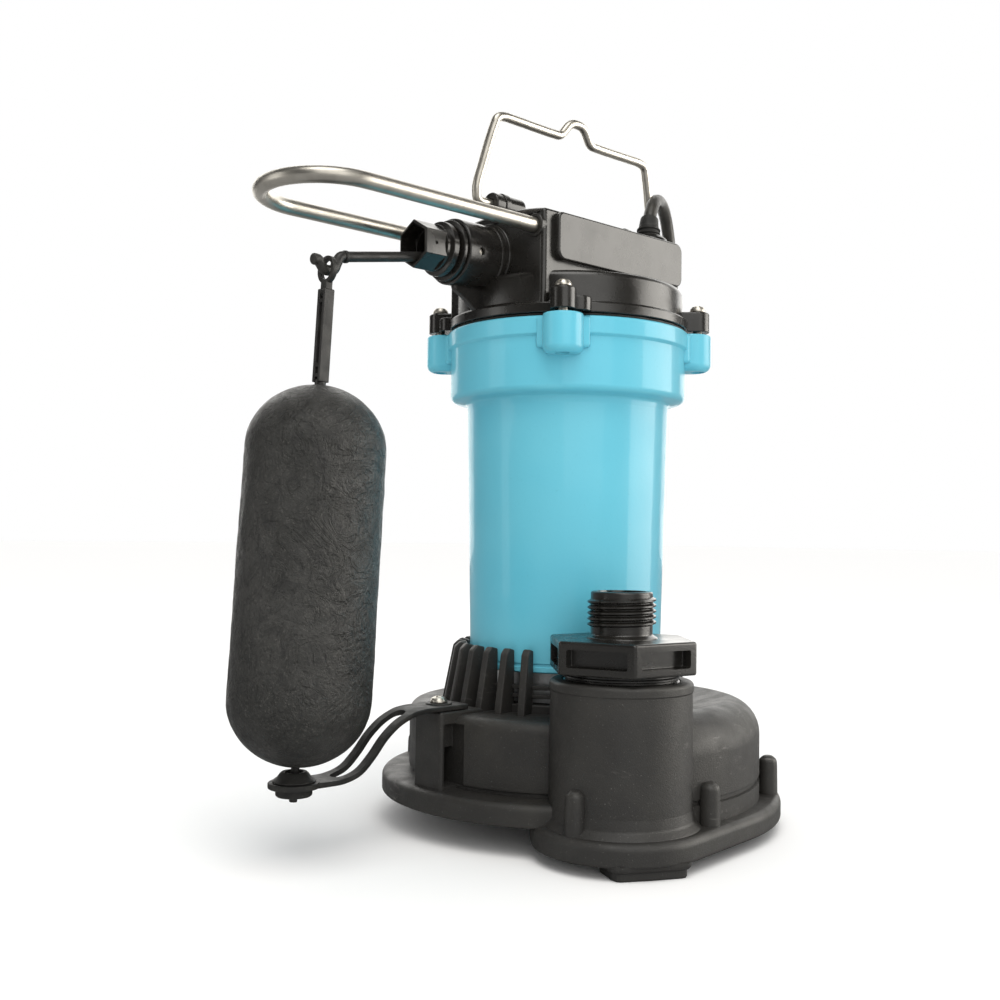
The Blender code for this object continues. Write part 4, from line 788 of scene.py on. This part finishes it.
def handle_point(x, z):
    """The raised handle leans forward a little, and its bar sits slightly to the left."""
    share = (z - HANDLE_PIVOT_Z) / (306.5 - HANDLE_PIVOT_Z)
    return x - 1.3 * min(1.0, share) * (1 - x / 50.0), -5.0 * share, z


def carry_handle():
    """Bent wire: its feet turn inward into the bosses, and its bar has a thumb hump."""
    side = [(38.0, 269.0), (50.0, 269.0), (54.8, 269.0), (56.4, 269.7), (57.0, 271.4), (57.0, 276.0),
            (54.6, 284.0), (51.6, 294.0), (49.0, 301.5), (47.3, 305.1), (43.5, 306.5), (36.0, 306.6),
            (26.0, 306.5), (14.0, 306.5), (9.4, 307.2), (5.4, 311.9), (2.8, 313.5), (0.0, 313.8)]
    right = [handle_point(x, z) for x, z in side]
    left = [handle_point(-x, z) for x, z in side[:-1]]
    path = smooth_path(left + right[::-1], 1.0)
    piece(tube("handle_wire", path, 2.0, 24), "stainless", "handle", ["carry_handle"])


def strain_relief():
    """A ribbed rubber sleeve that follows the cord out of the flared gland."""
    gland_top, ribbed, rib_pitch = 265.6, 4.5, 1.5
    path = [p for p in smooth_path(cord_route(), 0.4) if p.z < 275.0 and p.x < 45.0]
    radii = []
    for p in path:
        rise = p.z - gland_top
        if rise < 0:
            radii.append(4.3)
        elif rise < ribbed:
            radii.append(5.5 if math.sin(rise * 2 * math.pi / rib_pitch) > -0.2 else 4.9)
        else:
            radii.append(4.7 - 0.11 * (rise - ribbed))
    piece(tube("relief_sleeve", path, radii, 40, soft=0.5), "rubber", nodes=["strain_relief"])


# ------------ float

def hang(obj):
    """From the float's own upright axis, with its eye at the origin, to where it hangs."""
    obj.data.transform(Matrix.Translation(EYE) @ Matrix.Rotation(math.radians(FLOAT_LEAN), 4, "Y"))
    return obj


def foam_skin(turn, drop):
    """How far the moulded skin sinks in: wrinkles, slack dents, and flow marks round two spots."""
    at = Vector((*polar(FLOAT_R, turn), -drop))
    wrinkle = noise.fractal(at * 0.22, 0.9, 2.1, 4)
    slack = noise.noise(at * 0.05 + Vector((7.0, 3.0, 1.0)))
    depth = 0.14 * (1 - wrinkle) + 0.32 * (0.5 + 0.5 * slack)
    for spot_turn, spot_drop, reach, pitch in ((196.0, 100.0, 24.0, 5.2), (262.0, 140.0, 30.0, 7.5)):
        away = (at - Vector((*polar(FLOAT_R, spot_turn), -spot_drop))).length
        fade = max(0.0, 1 - away / reach)
        wave = math.sin(away / pitch * 2 * math.pi + 1.5 * noise.noise(at * 0.09))
        depth += 0.16 * min(1.0, 2 * fade) * (0.5 + 0.5 * wave) ** 3
    return depth


def float_body():
    """A moulded foam capsule round its rod, with dimples where the rod goes through."""
    top, foot, rise, wide = 45.2, 190.0, 25.0, 27.2
    line = [(2.6, top + 3.2), (3.6, top + 1.6), (5.0, top + 0.5)]
    for i in range(4, 31):
        angle = math.radians(3.0 * i)
        line.append((wide * math.sin(angle), top + rise * (1 - math.cos(angle))))
    steps = 66
    for i in range(1, steps):
        line.append((wide + 0.25 * i / steps, top + rise + (foot - top - 2 * rise) * i / steps))
    for i in range(30, 3, -1):
        angle = math.radians(3.0 * i)
        line.append(((wide + 0.25) * math.sin(angle), foot - rise * (1 - math.cos(angle))))
    line += [(5.0, foot - 0.5), (3.6, foot - 1.6), (2.6, foot - 3.0)]
    sides = 176
    rings = []
    for radius, drop in line:
        ring = []
        for k in range(sides):
            turn = 360.0 * k / sides
            sink = foam_skin(turn, drop) * min(1.0, radius / 16.0)
            ring.append((*polar(max(2.4, radius - sink), turn), -drop))
        rings.append(ring)
    piece(hang(loft("float_foam_body", rings)), "float_foam", "float", ["float"], 60)


def float_rod():
    eye = rounded([(5.5, 1.1, 0.4), (5.5, -1.1, 0.4), (3.8, -1.1, 0.3), (3.8, 1.1, 0.3)], 3)
    bar = lathe("rod_of_float", eye, 48, (0, 0, 0), "X")
    unite(bar, slab("neck", rectangle(-1.6, -10.5, 1.6, -4.4), -1.9, 1.9, 0.4, 0.4, "XZ"))
    web, flange = 0.8, 2.4
    outline = rounded([(-flange, -flange, 0.4), (flange, -flange, 0.4), (flange, -web - 0.3, 0.4), (web, -web, 0.3),
                       (web, web, 0.3), (flange, web + 0.3, 0.4), (flange, flange, 0.4), (-flange, flange, 0.4),
                       (-flange, web + 0.3, 0.4), (-web, web, 0.3), (-web, -web, 0.3), (-flange, -web - 0.3, 0.4)], 3)
    unite(bar, slab("ribs", outline, -44.0, -7.6, 0.3, 0.5))
    for drop in (9.0, 12.4, 37.5, 41.5):
        square = rectangle(-flange, -flange, flange, flange, 0.6, 5)
        unite(bar, slab("bridge", square, -drop - 0.7, -drop + 0.7, 0.3, 0.3))
    unite(bar, rod("stem", 2.2, (0, 0, -186.0), (0, 0, -43.2), 28, 0))
    unite(bar, rod("tip", 1.6, (0, 0, -203.0), (0, 0, -185.0), 28, 0.5))
    piece(hang(bar), "engineering_plastic", "float", ["float_rod"])


# ------------ strap

STRAP_END = (-141.2, 31.4)
STRAP_SCREW_X = -71.0
BRACKET_TOP = 53.0


def strap():
    """Two moulded strips with a slot between, from the bracket's tab to the grommet's disc."""
    line = [(-61.6, 54.3), (-68.0, 54.3), (-76.0, 54.3), (-82.0, 54.3), (-86.0, 54.0), (-90.0, 53.2), (-97.0, 50.2),
            (-103.5, 45.2), (-109.3, 38.8), (-115.5, 33.6), (-123.0, 31.4), (-131.0, 31.2), STRAP_END]
    path = smooth_path([(x, SWITCH_Y, z) for x, z in line], 1.2)
    rings = []
    for i, p in enumerate(path):
        way = (path[min(i + 1, len(path) - 1)] - path[max(i - 1, 0)]).normalized()
        up = Vector((way.z, 0, -way.x))
        half = 8.0 - 0.7 * math.exp(-((p.x + 106.0) / 17.0) ** 2)
        section = rounded([(-half, -1.0, 0.5), (half, -1.0, 0.5), (half, 1.0, 0.6), (half - 3.9, 1.0, 0.4),
                           (-half + 3.9, 1.0, 0.4), (-half, 1.0, 0.6)], 3)
        rings.append([(p + up * h) + Vector((0.0, a, 0.0)) for a, h in section])
    band = loft("strap_strip", rings)
    cut(band, slab("slot", rectangle(-124.5, SWITCH_Y - 3.3, -89.5, SWITCH_Y + 3.3, 3.2, 8), 20.0, 70.0))
    x, z = STRAP_END
    unite(band, puck("disc", 9.8, z - 1.1, z + 1.1, 0.5, 72, (x, SWITCH_Y, 0)))
    boss = rounded([(0, 53.35), (5.6, 53.35), (5.6, 55.9, 0.5), (0, 55.9)], 3)
    unite(band, lathe("washer", boss, 48, (STRAP_SCREW_X, SWITCH_Y, 0)))
    drill(band, 4.6, (x, SWITCH_Y), z - 5, z + 5, 40, "end_hole")
    drill(band, 2.4, (STRAP_SCREW_X, SWITCH_Y), 45, 62, 32, "screw_hole")
    piece(band, "rubber", body=None, nodes=["guide_strap", "strap_tab"], angle=35)
    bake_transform(band)


def strap_screw():
    head = BRACKET_TOP + 2.95
    profile = [(0, head + 2.7), (1.6, head + 2.55), (2.9, head + 1.9), (3.5, head + 1.0), (3.7, head + 0.4),
               (3.6, head), (2.0, head), (2.0, BRACKET_TOP - 12), (0, BRACKET_TOP - 12)]
    screw = lathe("strap_screw_fine", profile, 40, (STRAP_SCREW_X, SWITCH_Y, 0))
    for turn in (20, 110):
        notch(screw, (STRAP_SCREW_X, SWITCH_Y), 1.9, 0.4, head + 1.5, head + 4, turn)
    piece(screw, "stainless", nodes=["strap_screw"], angle=28)


def grommet():
    """A flanged cone snaps through the strap's disc and guides the rod's tip."""
    x, z = STRAP_END
    top, low = z + 1.4, z - 1.4
    profile = rounded([
        (3.5, top + 3.6, 0.4), (4.7, top + 3.6, 0.5), (5.4, top + 3.0), (6.4, top + 1.6), (8.2, top + 0.3, 0.3),
        (8.2, top), (4.2, top), (4.2, low), (6.9, low), (6.9, low - 2.3, 0.5), (6.3, low - 2.8, 0.3),
        (3.5, low - 2.8, 0.3),
    ], 3)
    piece(lathe("grommet_cone", profile, 64, (x, SWITCH_Y, 0)), "rubber", "strap", ["float_grommet"], 35)


# ------------ base

def wall_radius(degrees):
    """The volute opens clockwise, from the left round the back and right side to the discharge."""
    turned_by = (100.0 - degrees) % 360.0
    share = min(turned_by, 205.0) / 205.0
    if turned_by > 205.0:
        share = max(0.0, 1.0 - (turned_by - 205.0) / 35.0)
    share = share * share * (3 - 2 * share) * 0.35 + share * 0.65
    return VOLUTE_START + VOLUTE_GROWTH * share


def volute_body(inset, top_drop, floor, groove):
    sides = 180
    walls, rings = [wall_radius(360.0 * i / sides) for i in range(sides)], []

    def level(height, inward):
        return [(*polar(w - inset - inward, 360.0 * i / sides), height) for i, w in enumerate(walls)]

    rings.append(level(floor, 0.0))
    if groove:
        rings += [level(21.2, 0.0), level(21.6, 1.3), level(23.0, 1.3), level(23.5, 0.2), level(24.2, 0.0)]
    for step in range(10):
        turn = math.radians(10.0 * step)
        ring = []
        for i, w in enumerate(walls):
            grown = (w - VOLUTE_START) / VOLUTE_GROWTH
            shoulder = 5.0 + 11.0 * grown
            top = SHOULDER_Z + 4.5 * grown - top_drop
            reach = w - inset - shoulder * (1 - math.cos(turn))
            ring.append((*polar(reach, 360.0 * i / sides), top - shoulder * (1 - math.sin(turn))))
        rings.append(ring)
    rings.append([(x, y, SHOULDER_Z - top_drop) for x, y in circle(58.0 - inset, sides)])
    return loft("pump_base", rings)


def hull(points):
    points = sorted(set(points))
    halves = []
    for order in (points, points[::-1]):
        half = []
        for p in order:
            while len(half) > 1:
                a, b = half[-2], half[-1]
                if (b[0] - a[0]) * (p[1] - a[1]) - (b[1] - a[1]) * (p[0] - a[0]) > 1e-6:
                    break
                half.pop()
            half.append(p)
        halves.append(half[:-1])
    return halves[0] + halves[1]


def even(outline, spacing):
    """The closed outline sampled again at an even spacing."""
    return [tuple(p) for p in spaced([Vector(p) for p in outline + outline[:1]], spacing)[:-1]]


SCREW_PLACES = [(-64.4, -68.3, 5.0), (-12.6, -91.4, 5.0), (*polar(76.5, 112.0), 12.5)]
SCREW_PLACES += [(*polar(90.5, degrees), 5.0) for degrees in (-54.0, 0.0, 52.0)]
FEET = ((-118.0, 106.5, 14.0), (-20.0, 94.5, 7.0), (95.0, 81.5, 10.5))


def fins():
    away = math.degrees(math.atan2(DISCHARGE[1], DISCHARGE[0]))
    shape = rounded([(44.6, 50.0), (55.6, 50.0), (54.9, 54.5, 3.0), (50.8, 76.0, 2.2), (48.4, 78.3, 1.6),
                     (44.6, 77.4, 0.8)], 5)
    made = []
    for i in range(32):
        degrees = away + 360.0 * (i + 0.5) / 32 + 3.0
        if abs((degrees - away + 180.0) % 360.0 - 180.0) < 27.5:
            continue
        fin = slab("fin", shape, -1.7, 1.7, 0.7, 0.7, "XZ", 3)
        made.append(turned(fin, degrees))
    return join(made[0], made[1:])


def foot_outline(degrees, radius, depth):
    shape = rounded([(radius - depth, -15.6), (radius - 3.5, -15.0, 2.0), (radius, -13.6, 2.5),
                     (radius + 0.5, 0.0, 20.0), (radius, 13.6, 2.5), (radius - 3.5, 15.0, 2.0),
                     (radius - depth, 15.6)], 6)
    return spun(shape, degrees)


def pump_base():
    base = volute_body(0.0, 0.0, 13.0, True)
    lower = hull(arc(96.0, -98, 60, 120) + circle(35.0, 96, DISCHARGE))
    unite(base, slab("lower_flange", even(lower, 3.0), 5.0, 14.0, 1.2, 3.2, steps=6))
    unite(base, slab("upper_flange", circle(82.0, 180, turn=1.1), 12.5, 21.5, 0.8, 3.0, steps=6))
    tube_profile = rounded([(0, 6.0), (28.4, 6.0), (28.2, 24.0), (27.9, 64.0), (27.9, 65.6, 0.5),
                            (TUBE_OUTER, 66.0, 0.4), (TUBE_OUTER, 69.7, 1.6), (0, 69.7)], 5)
    unite(base, lathe("discharge_tube", tube_profile, 128, (*DISCHARGE, 0)))
    foot_profile = rounded([(0, 10.0), (33.0, 10.0), (31.6, 14.0, 2.0), (28.9, 16.5, 2.0), (TUBE_OUTER, 21.0),
                            (0, 21.0)], 6)
    unite(base, lathe("tube_foot", foot_profile, 128, (*DISCHARGE, 0)))
    bracket = rounded([(-77.0, -4.8, 1.6), (-54.0, -4.8), (-54.0, 12.8), (-77.0, 12.8, 1.6)], 5)
    unite(base, slab("bracket", bracket, 19.5, 53.0, 0.0, 1.0))
    seat = rounded([(43.0, 49.5), (46.5, 49.5), (46.5, 54.9, 0.5), (43.0, 54.9, 0.5)], 3)
    unite(base, lathe("motor_seat", seat, 120))
    unite(base, fins())
    for low in (57.6, 61.2):
        rung = rounded([(44.6, low), (46.2, low, 0.4), (46.2, low + 1.7, 0.4), (44.6, low + 1.7)], 2)
        unite(base, lathe("rung", rung, 120))
    for x, y, low in SCREW_PLACES:
        boss = rounded([(0, low + 1.0), (4.3, low + 1.0), (4.0, 26.0), (3.8, 28.8, 2.4), (1.8, 30.5, 2.0),
                        (0, 30.5)], 5)
        unite(base, lathe("boss", boss, 40, (x, y, 0)))
    for degrees, radius, depth in FEET:
        top = 13.5 if degrees > 0 else 6.0
        outline = even(foot_outline(degrees, radius, depth), 1.5)
        unite(base, slab("foot", outline, 0.0, top, 0.8, 0.0))
        if degrees < 0:
            unite(base, slab("foot_root", offset(outline, -1.6), 3.0, top, 2.0, 0.0, steps=5))
    base_cuts(base)
    piece(base, "base_charcoal", nodes=["volute_base"], angle=30)


def base_cuts(base):
    cut(base, volute_body(4.0, 4.5, 4.0, False))
    cut(base, slab("recess", plate_outline(1.0), 4.0, 12.5))
    cut(base, box("bracket_hollow", (-75.0, -6.0, 22.6), (-66.9, 10.8, 38.0), 0.5))
    cut(base, box("bracket_throat", (-75.0, -6.0, 34.0), (-66.9, -0.2, 48.2), 0.5))
    cut(base, box("bracket_side", (-76.0, -10.2, 22.6), (-67.4, -4.6, 48.2), 0.5))
    drill(base, 23.4, DISCHARGE, 12.0, 71.0, 96, "bore")
    drill(base, 11.5, (0, 0), 40.0, 58.0, 48, "shaft_hole")
    for x, y, low in SCREW_PLACES:
        drill(base, 1.9, (x, y), low + 1.0, 26.0, 20)
        drill(base, 3.5, (x, y), low - 1.0, low + 2.4, 32, "counterbore")
    for at in circle(32.0, 4, turn=45.0):
        drill(base, 2.3, at, 40.0, 58.0, 20)
    drill(base, 2.4, (STRAP_SCREW_X, SWITCH_Y), 39.0, 55.0, 24)


def plate_outline(inset):
    return [polar(wall_radius(2.0 * i) - inset, 2.0 * i) for i in range(180)]


def bottom_plate():
    plate = slab("inlet_plate", plate_outline(1.3), 10.0, 12.2, 0.4, 0.2)
    drill(plate, 15.0, (0, 0), 6, 16, 64, "eye")
    for at in circle(22.0, 8):
        drill(plate, 3.2, at, 6, 16, 28)
    piece(plate, "base_charcoal", nodes=["bottom_plate"])


# ------------ hose adapter

def thread(name, radius, pitch, depth, low, high, at, sides=72):
    """A helical ridge on a cylinder: one closed strip whose ends run out into the core."""
    rows = []
    turns = (high - low) / pitch
    count = round(turns * sides)
    for k in range(count + 1):
        angle = 2 * math.pi * k / sides
        z = low + (high - low) * k / count
        fade = min(1.0, 3.0 * k / sides, 3.0 * (count - k) / sides)
        crest = radius + depth * fade
        c, s = math.cos(angle), math.sin(angle)
        ring = []
        for r, h in ((radius - 0.6, -0.98), (radius, -0.95), (crest, -0.28), (crest, 0.28), (radius, 0.95),
                     (radius - 0.6, 0.98)):
            ring.append((at[0] + r * c, at[1] + r * s, z + h * pitch / 2))
        rows.append(ring)
    return loft(name, rows)


def hose_adapter():
    x, y = DISCHARGE
    corner_r, turn = 30.7, -129.1
    corners = [(*p, 1.6) for p in circle(corner_r, 6, DISCHARGE, turn)]
    adapter = slab("adapter_body", rounded(corners, 6), 73.0, 85.9, 0.9, 1.1)
    face = corner_r * math.cos(math.radians(30))
    for i in range(6):
        shape = slab("pocket", rectangle(-12.3, 75.9, 12.3, 82.8, 0.9), face - 4.7, face + 2.0, 0.4, 0.0, "YZ")
        shape.data.transform(Matrix.Translation((x, y, 0)) @ Matrix.Rotation(math.radians(turn + 30 + 60 * i), 4, "Z"))
        cut(adapter, shape)
    neck = [(0, 74.0), (22.9, 74.0), (22.9, 72.9), (22.2, 72.5), (22.2, 71.9), (22.9, 71.5), (22.9, 70.9),
            (22.2, 70.5), (22.2, 69.9), (22.9, 69.5), (22.9, 54.0), (21.9, 52.0), (0, 52.0)]
    unite(adapter, lathe("neck", neck, 96, (x, y, 0)))
    nipple = rounded([(0, 104.2), (12.2, 104.2, 0.8), (12.2, 90.0), (12.2, 87.4, 0.8), (14.2, 86.2, 0.6),
                      (14.2, 85.0), (0, 85.0)], 4)
    unite(adapter, lathe("nipple", nipple, 96, (x, y, 0)))
    bore = [(0, 50.0), (9.5, 50.0), (9.5, 103.4), (10.3, 105.0), (0, 105.0)]
    cut(adapter, lathe("bore", bore, 72, (x, y, 0)))
    join(adapter, [thread("thread", 12.15, 2.21, 1.35, 90.4, 102.0, (x, y))])
    piece(adapter, "cover_black", nodes=["discharge_adapter"], angle=28)


# ------------ cord and plug

COIL_CENTRE = (99.6, 112.8)
TAIL_R = 27.0
TAIL_BENDS = 194.0
TAIL_Z = 28.4
PLUG_TURN = -46.0
PLUG_Z = 37.0


def cord_route():
    return [
        (33.5, -19.5, 258.0), (33.5, -19.5, 263.0), (33.7, -19.4, 269.0), (35.4, -18.5, 275.0), (39.0, -16.7, 281.0),
        (45.7, -13.3, 286.6), (54.5, -8.8, 288.8), (63.6, -4.2, 286.6), (70.9, -0.4, 280.3), (75.2, 1.7, 271.0),
        (76.6, 3.4, 258.0), (77.4, 6.0, 236.0), (78.6, 10.5, 206.0), (80.0, 17.5, 174.0), (81.0, 28.0, 138.0),
        (78.5, 40.5, 100.0), (71.5, 56.0, 66.0), (63.6, 70.5, 38.0), (56.6, 86.0, 16.0), (52.4, 99.4, 5.6),
        (51.2, 108.4, 3.4), (52.1, 117.4, 3.3),
    ]


def ease(t):
    t = min(max(t, 0.0), 1.0)
    return t * t * (3 - 2 * t)


def coil_turns():
    """Clockwise turns that fill the coil, layer by layer, and climb onto its top."""
    start = 174.5
    bends = [(47.7, 3.3), (41.4, 3.3), (35.0, 3.3), (28.6, 3.3), (28.6, 9.55), (35.0, 9.55), (41.4, 9.55),
             (41.4, 15.8), (35.0, 15.8), (28.6, 15.8), (28.6, 22.05), (35.0, 22.05)]
    points = []
    for (r0, z0), (r1, z1), k in zip(bends, bends[1:], range(len(bends))):
        last = k == len(bends) - 2
        sweep = 244.5 if last else 360.0
        for i in range(round(sweep / 4)):
            gone = 4.0 * i
            wide = 90.0 if k == 0 else 45.0
            radius = r0 + (r1 - r0) * ease(gone / wide)
            height = z0 + (z1 - z0) * ease((gone - 45.0) / 45.0) if z1 != z0 else z0
            points.append((*polar(radius, start - 360.0 * k - gone, COIL_CENTRE), height))
    for i in range(14):
        share = i / 13
        points.append((*polar(35.0, -70.0 - 51.0 * share, COIL_CENTRE), 22.05 + (TAIL_Z - 22.05) * ease(share)))
    return points


def tail_centre():
    return polar(35.0 - TAIL_R, TAIL_BENDS, COIL_CENTRE)


def plug_point(along, across, up):
    x, y = polar(TAIL_R, PLUG_TURN + 90.0, tail_centre())
    c, s = polar(1.0, PLUG_TURN)
    along += 4.0
    return x + along * c - across * s, y + along * s + across * c, PLUG_Z + up


def supply_cord():
    path = [tuple(p) for p in smooth_path(cord_route(), 4.0)][:-1]
    path += coil_turns()[1:]
    path += [(*p, TAIL_Z) for p in arc(35.0, 239.0, TAIL_BENDS, 11, COIL_CENTRE)][1:]
    for i, p in enumerate(arc(TAIL_R, TAIL_BENDS, PLUG_TURN + 90.0, 30, tail_centre())):
        if i:
            path.append((*p, TAIL_Z + (PLUG_Z - TAIL_Z) * ease(i / 30)))
    path += [plug_point(a, 0, 0) for a in (-2.0, 0.0, 4.0, 8.0)]
    data = bpy.data.curves.new("supply_cord", "CURVE")
    data.dimensions = "3D"
    data.bevel_depth = CORD_R * MM
    data.bevel_resolution = 5
    data.use_fill_caps = True
    spline = data.splines.new("POLY")
    spline.points.add(len(path) - 1)
    for point, p in zip(spline.points, path):
        point.co = (*(PLACE @ Vector(p)), 1.0)
    spline.use_smooth = True
    cord = add("supply_cord", data)
    data.materials.append(FINISHES["cord_black"])
    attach(cord, "root")
    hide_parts("power_cord", "cord_coil", "cord_tail")
    return cord


def plug_section(along, half_width, half_height, grip=0.0):
    points = []
    for i in range(48):
        c, s = polar(1.0, 7.5 * i)
        across = (half_width - grip * (abs(c) > 0.75)) * math.copysign(abs(c) ** 0.6, c)
        points.append(plug_point(along, across, half_height * math.copysign(abs(s) ** 0.6, s)))
    return points


def plug():
    """A moulded three-pin plug: ribbed sleeve, finger grips, and a flat face."""
    sections = []
    for i in range(23):
        along = 0.3 + i * 0.96
        ribbed = 0.55 if i % 4 in (0, 1) and i < 21 else 0.0
        half = 4.1 + 1.3 * i / 22 - ribbed
        sections.append((along, half, half))
    sections += [(22.4, 7.6, 7.4), (24.0, 8.4, 8.0), (30.0, 9.6, 9.2), (35.6, 10.9, 10.5), (37.0, 11.2, 10.8)]
    for i in range(10):
        sections.append((38.0 + 1.4 * i, 11.9 - (0.8 if i % 2 else 0.0), 11.5))
    sections += [(52.6, 12.0, 11.5), (56.8, 12.0, 11.5), (57.7, 11.7, 11.2), (58.0, 11.0, 10.5)]
    body = loft("plug_moulding", [plug_section(*s) for s in sections])
    for side in (-1, 1):
        middle, rings = side * 12.7 / 2, []
        for a in (51.7, 59.0):
            corners = [(-1.05, 0.95), (1.05, 0.95), (1.05, 7.85), (-1.05, 7.85)]
            rings.append([plug_point(a, middle + b, c) for b, c in corners])
        cut(body, loft("slot", rings))
    cut(body, rod("socket", 2.7, plug_point(51.7, 0, -7.0), plug_point(59.0, 0, -7.0), 24, 0))
    return piece(body, "cord_black", nodes=["plug_body"], angle=35)


# ------------ the pump

mix_finishes()
place_camera()
cord = supply_cord()
light_the_scene()
lay_floor()
dress_cad_nodes()
motor_housing()
cover_screws()
top_cover()
switch_nut()
lever_boot()
lever_arm()
guard_hoop()
carry_handle()
strain_relief()
float_body()
float_rod()
strap()
strap_screw()
grommet()
pump_base()
bottom_plate()
hose_adapter()
plug_moulding = plug()
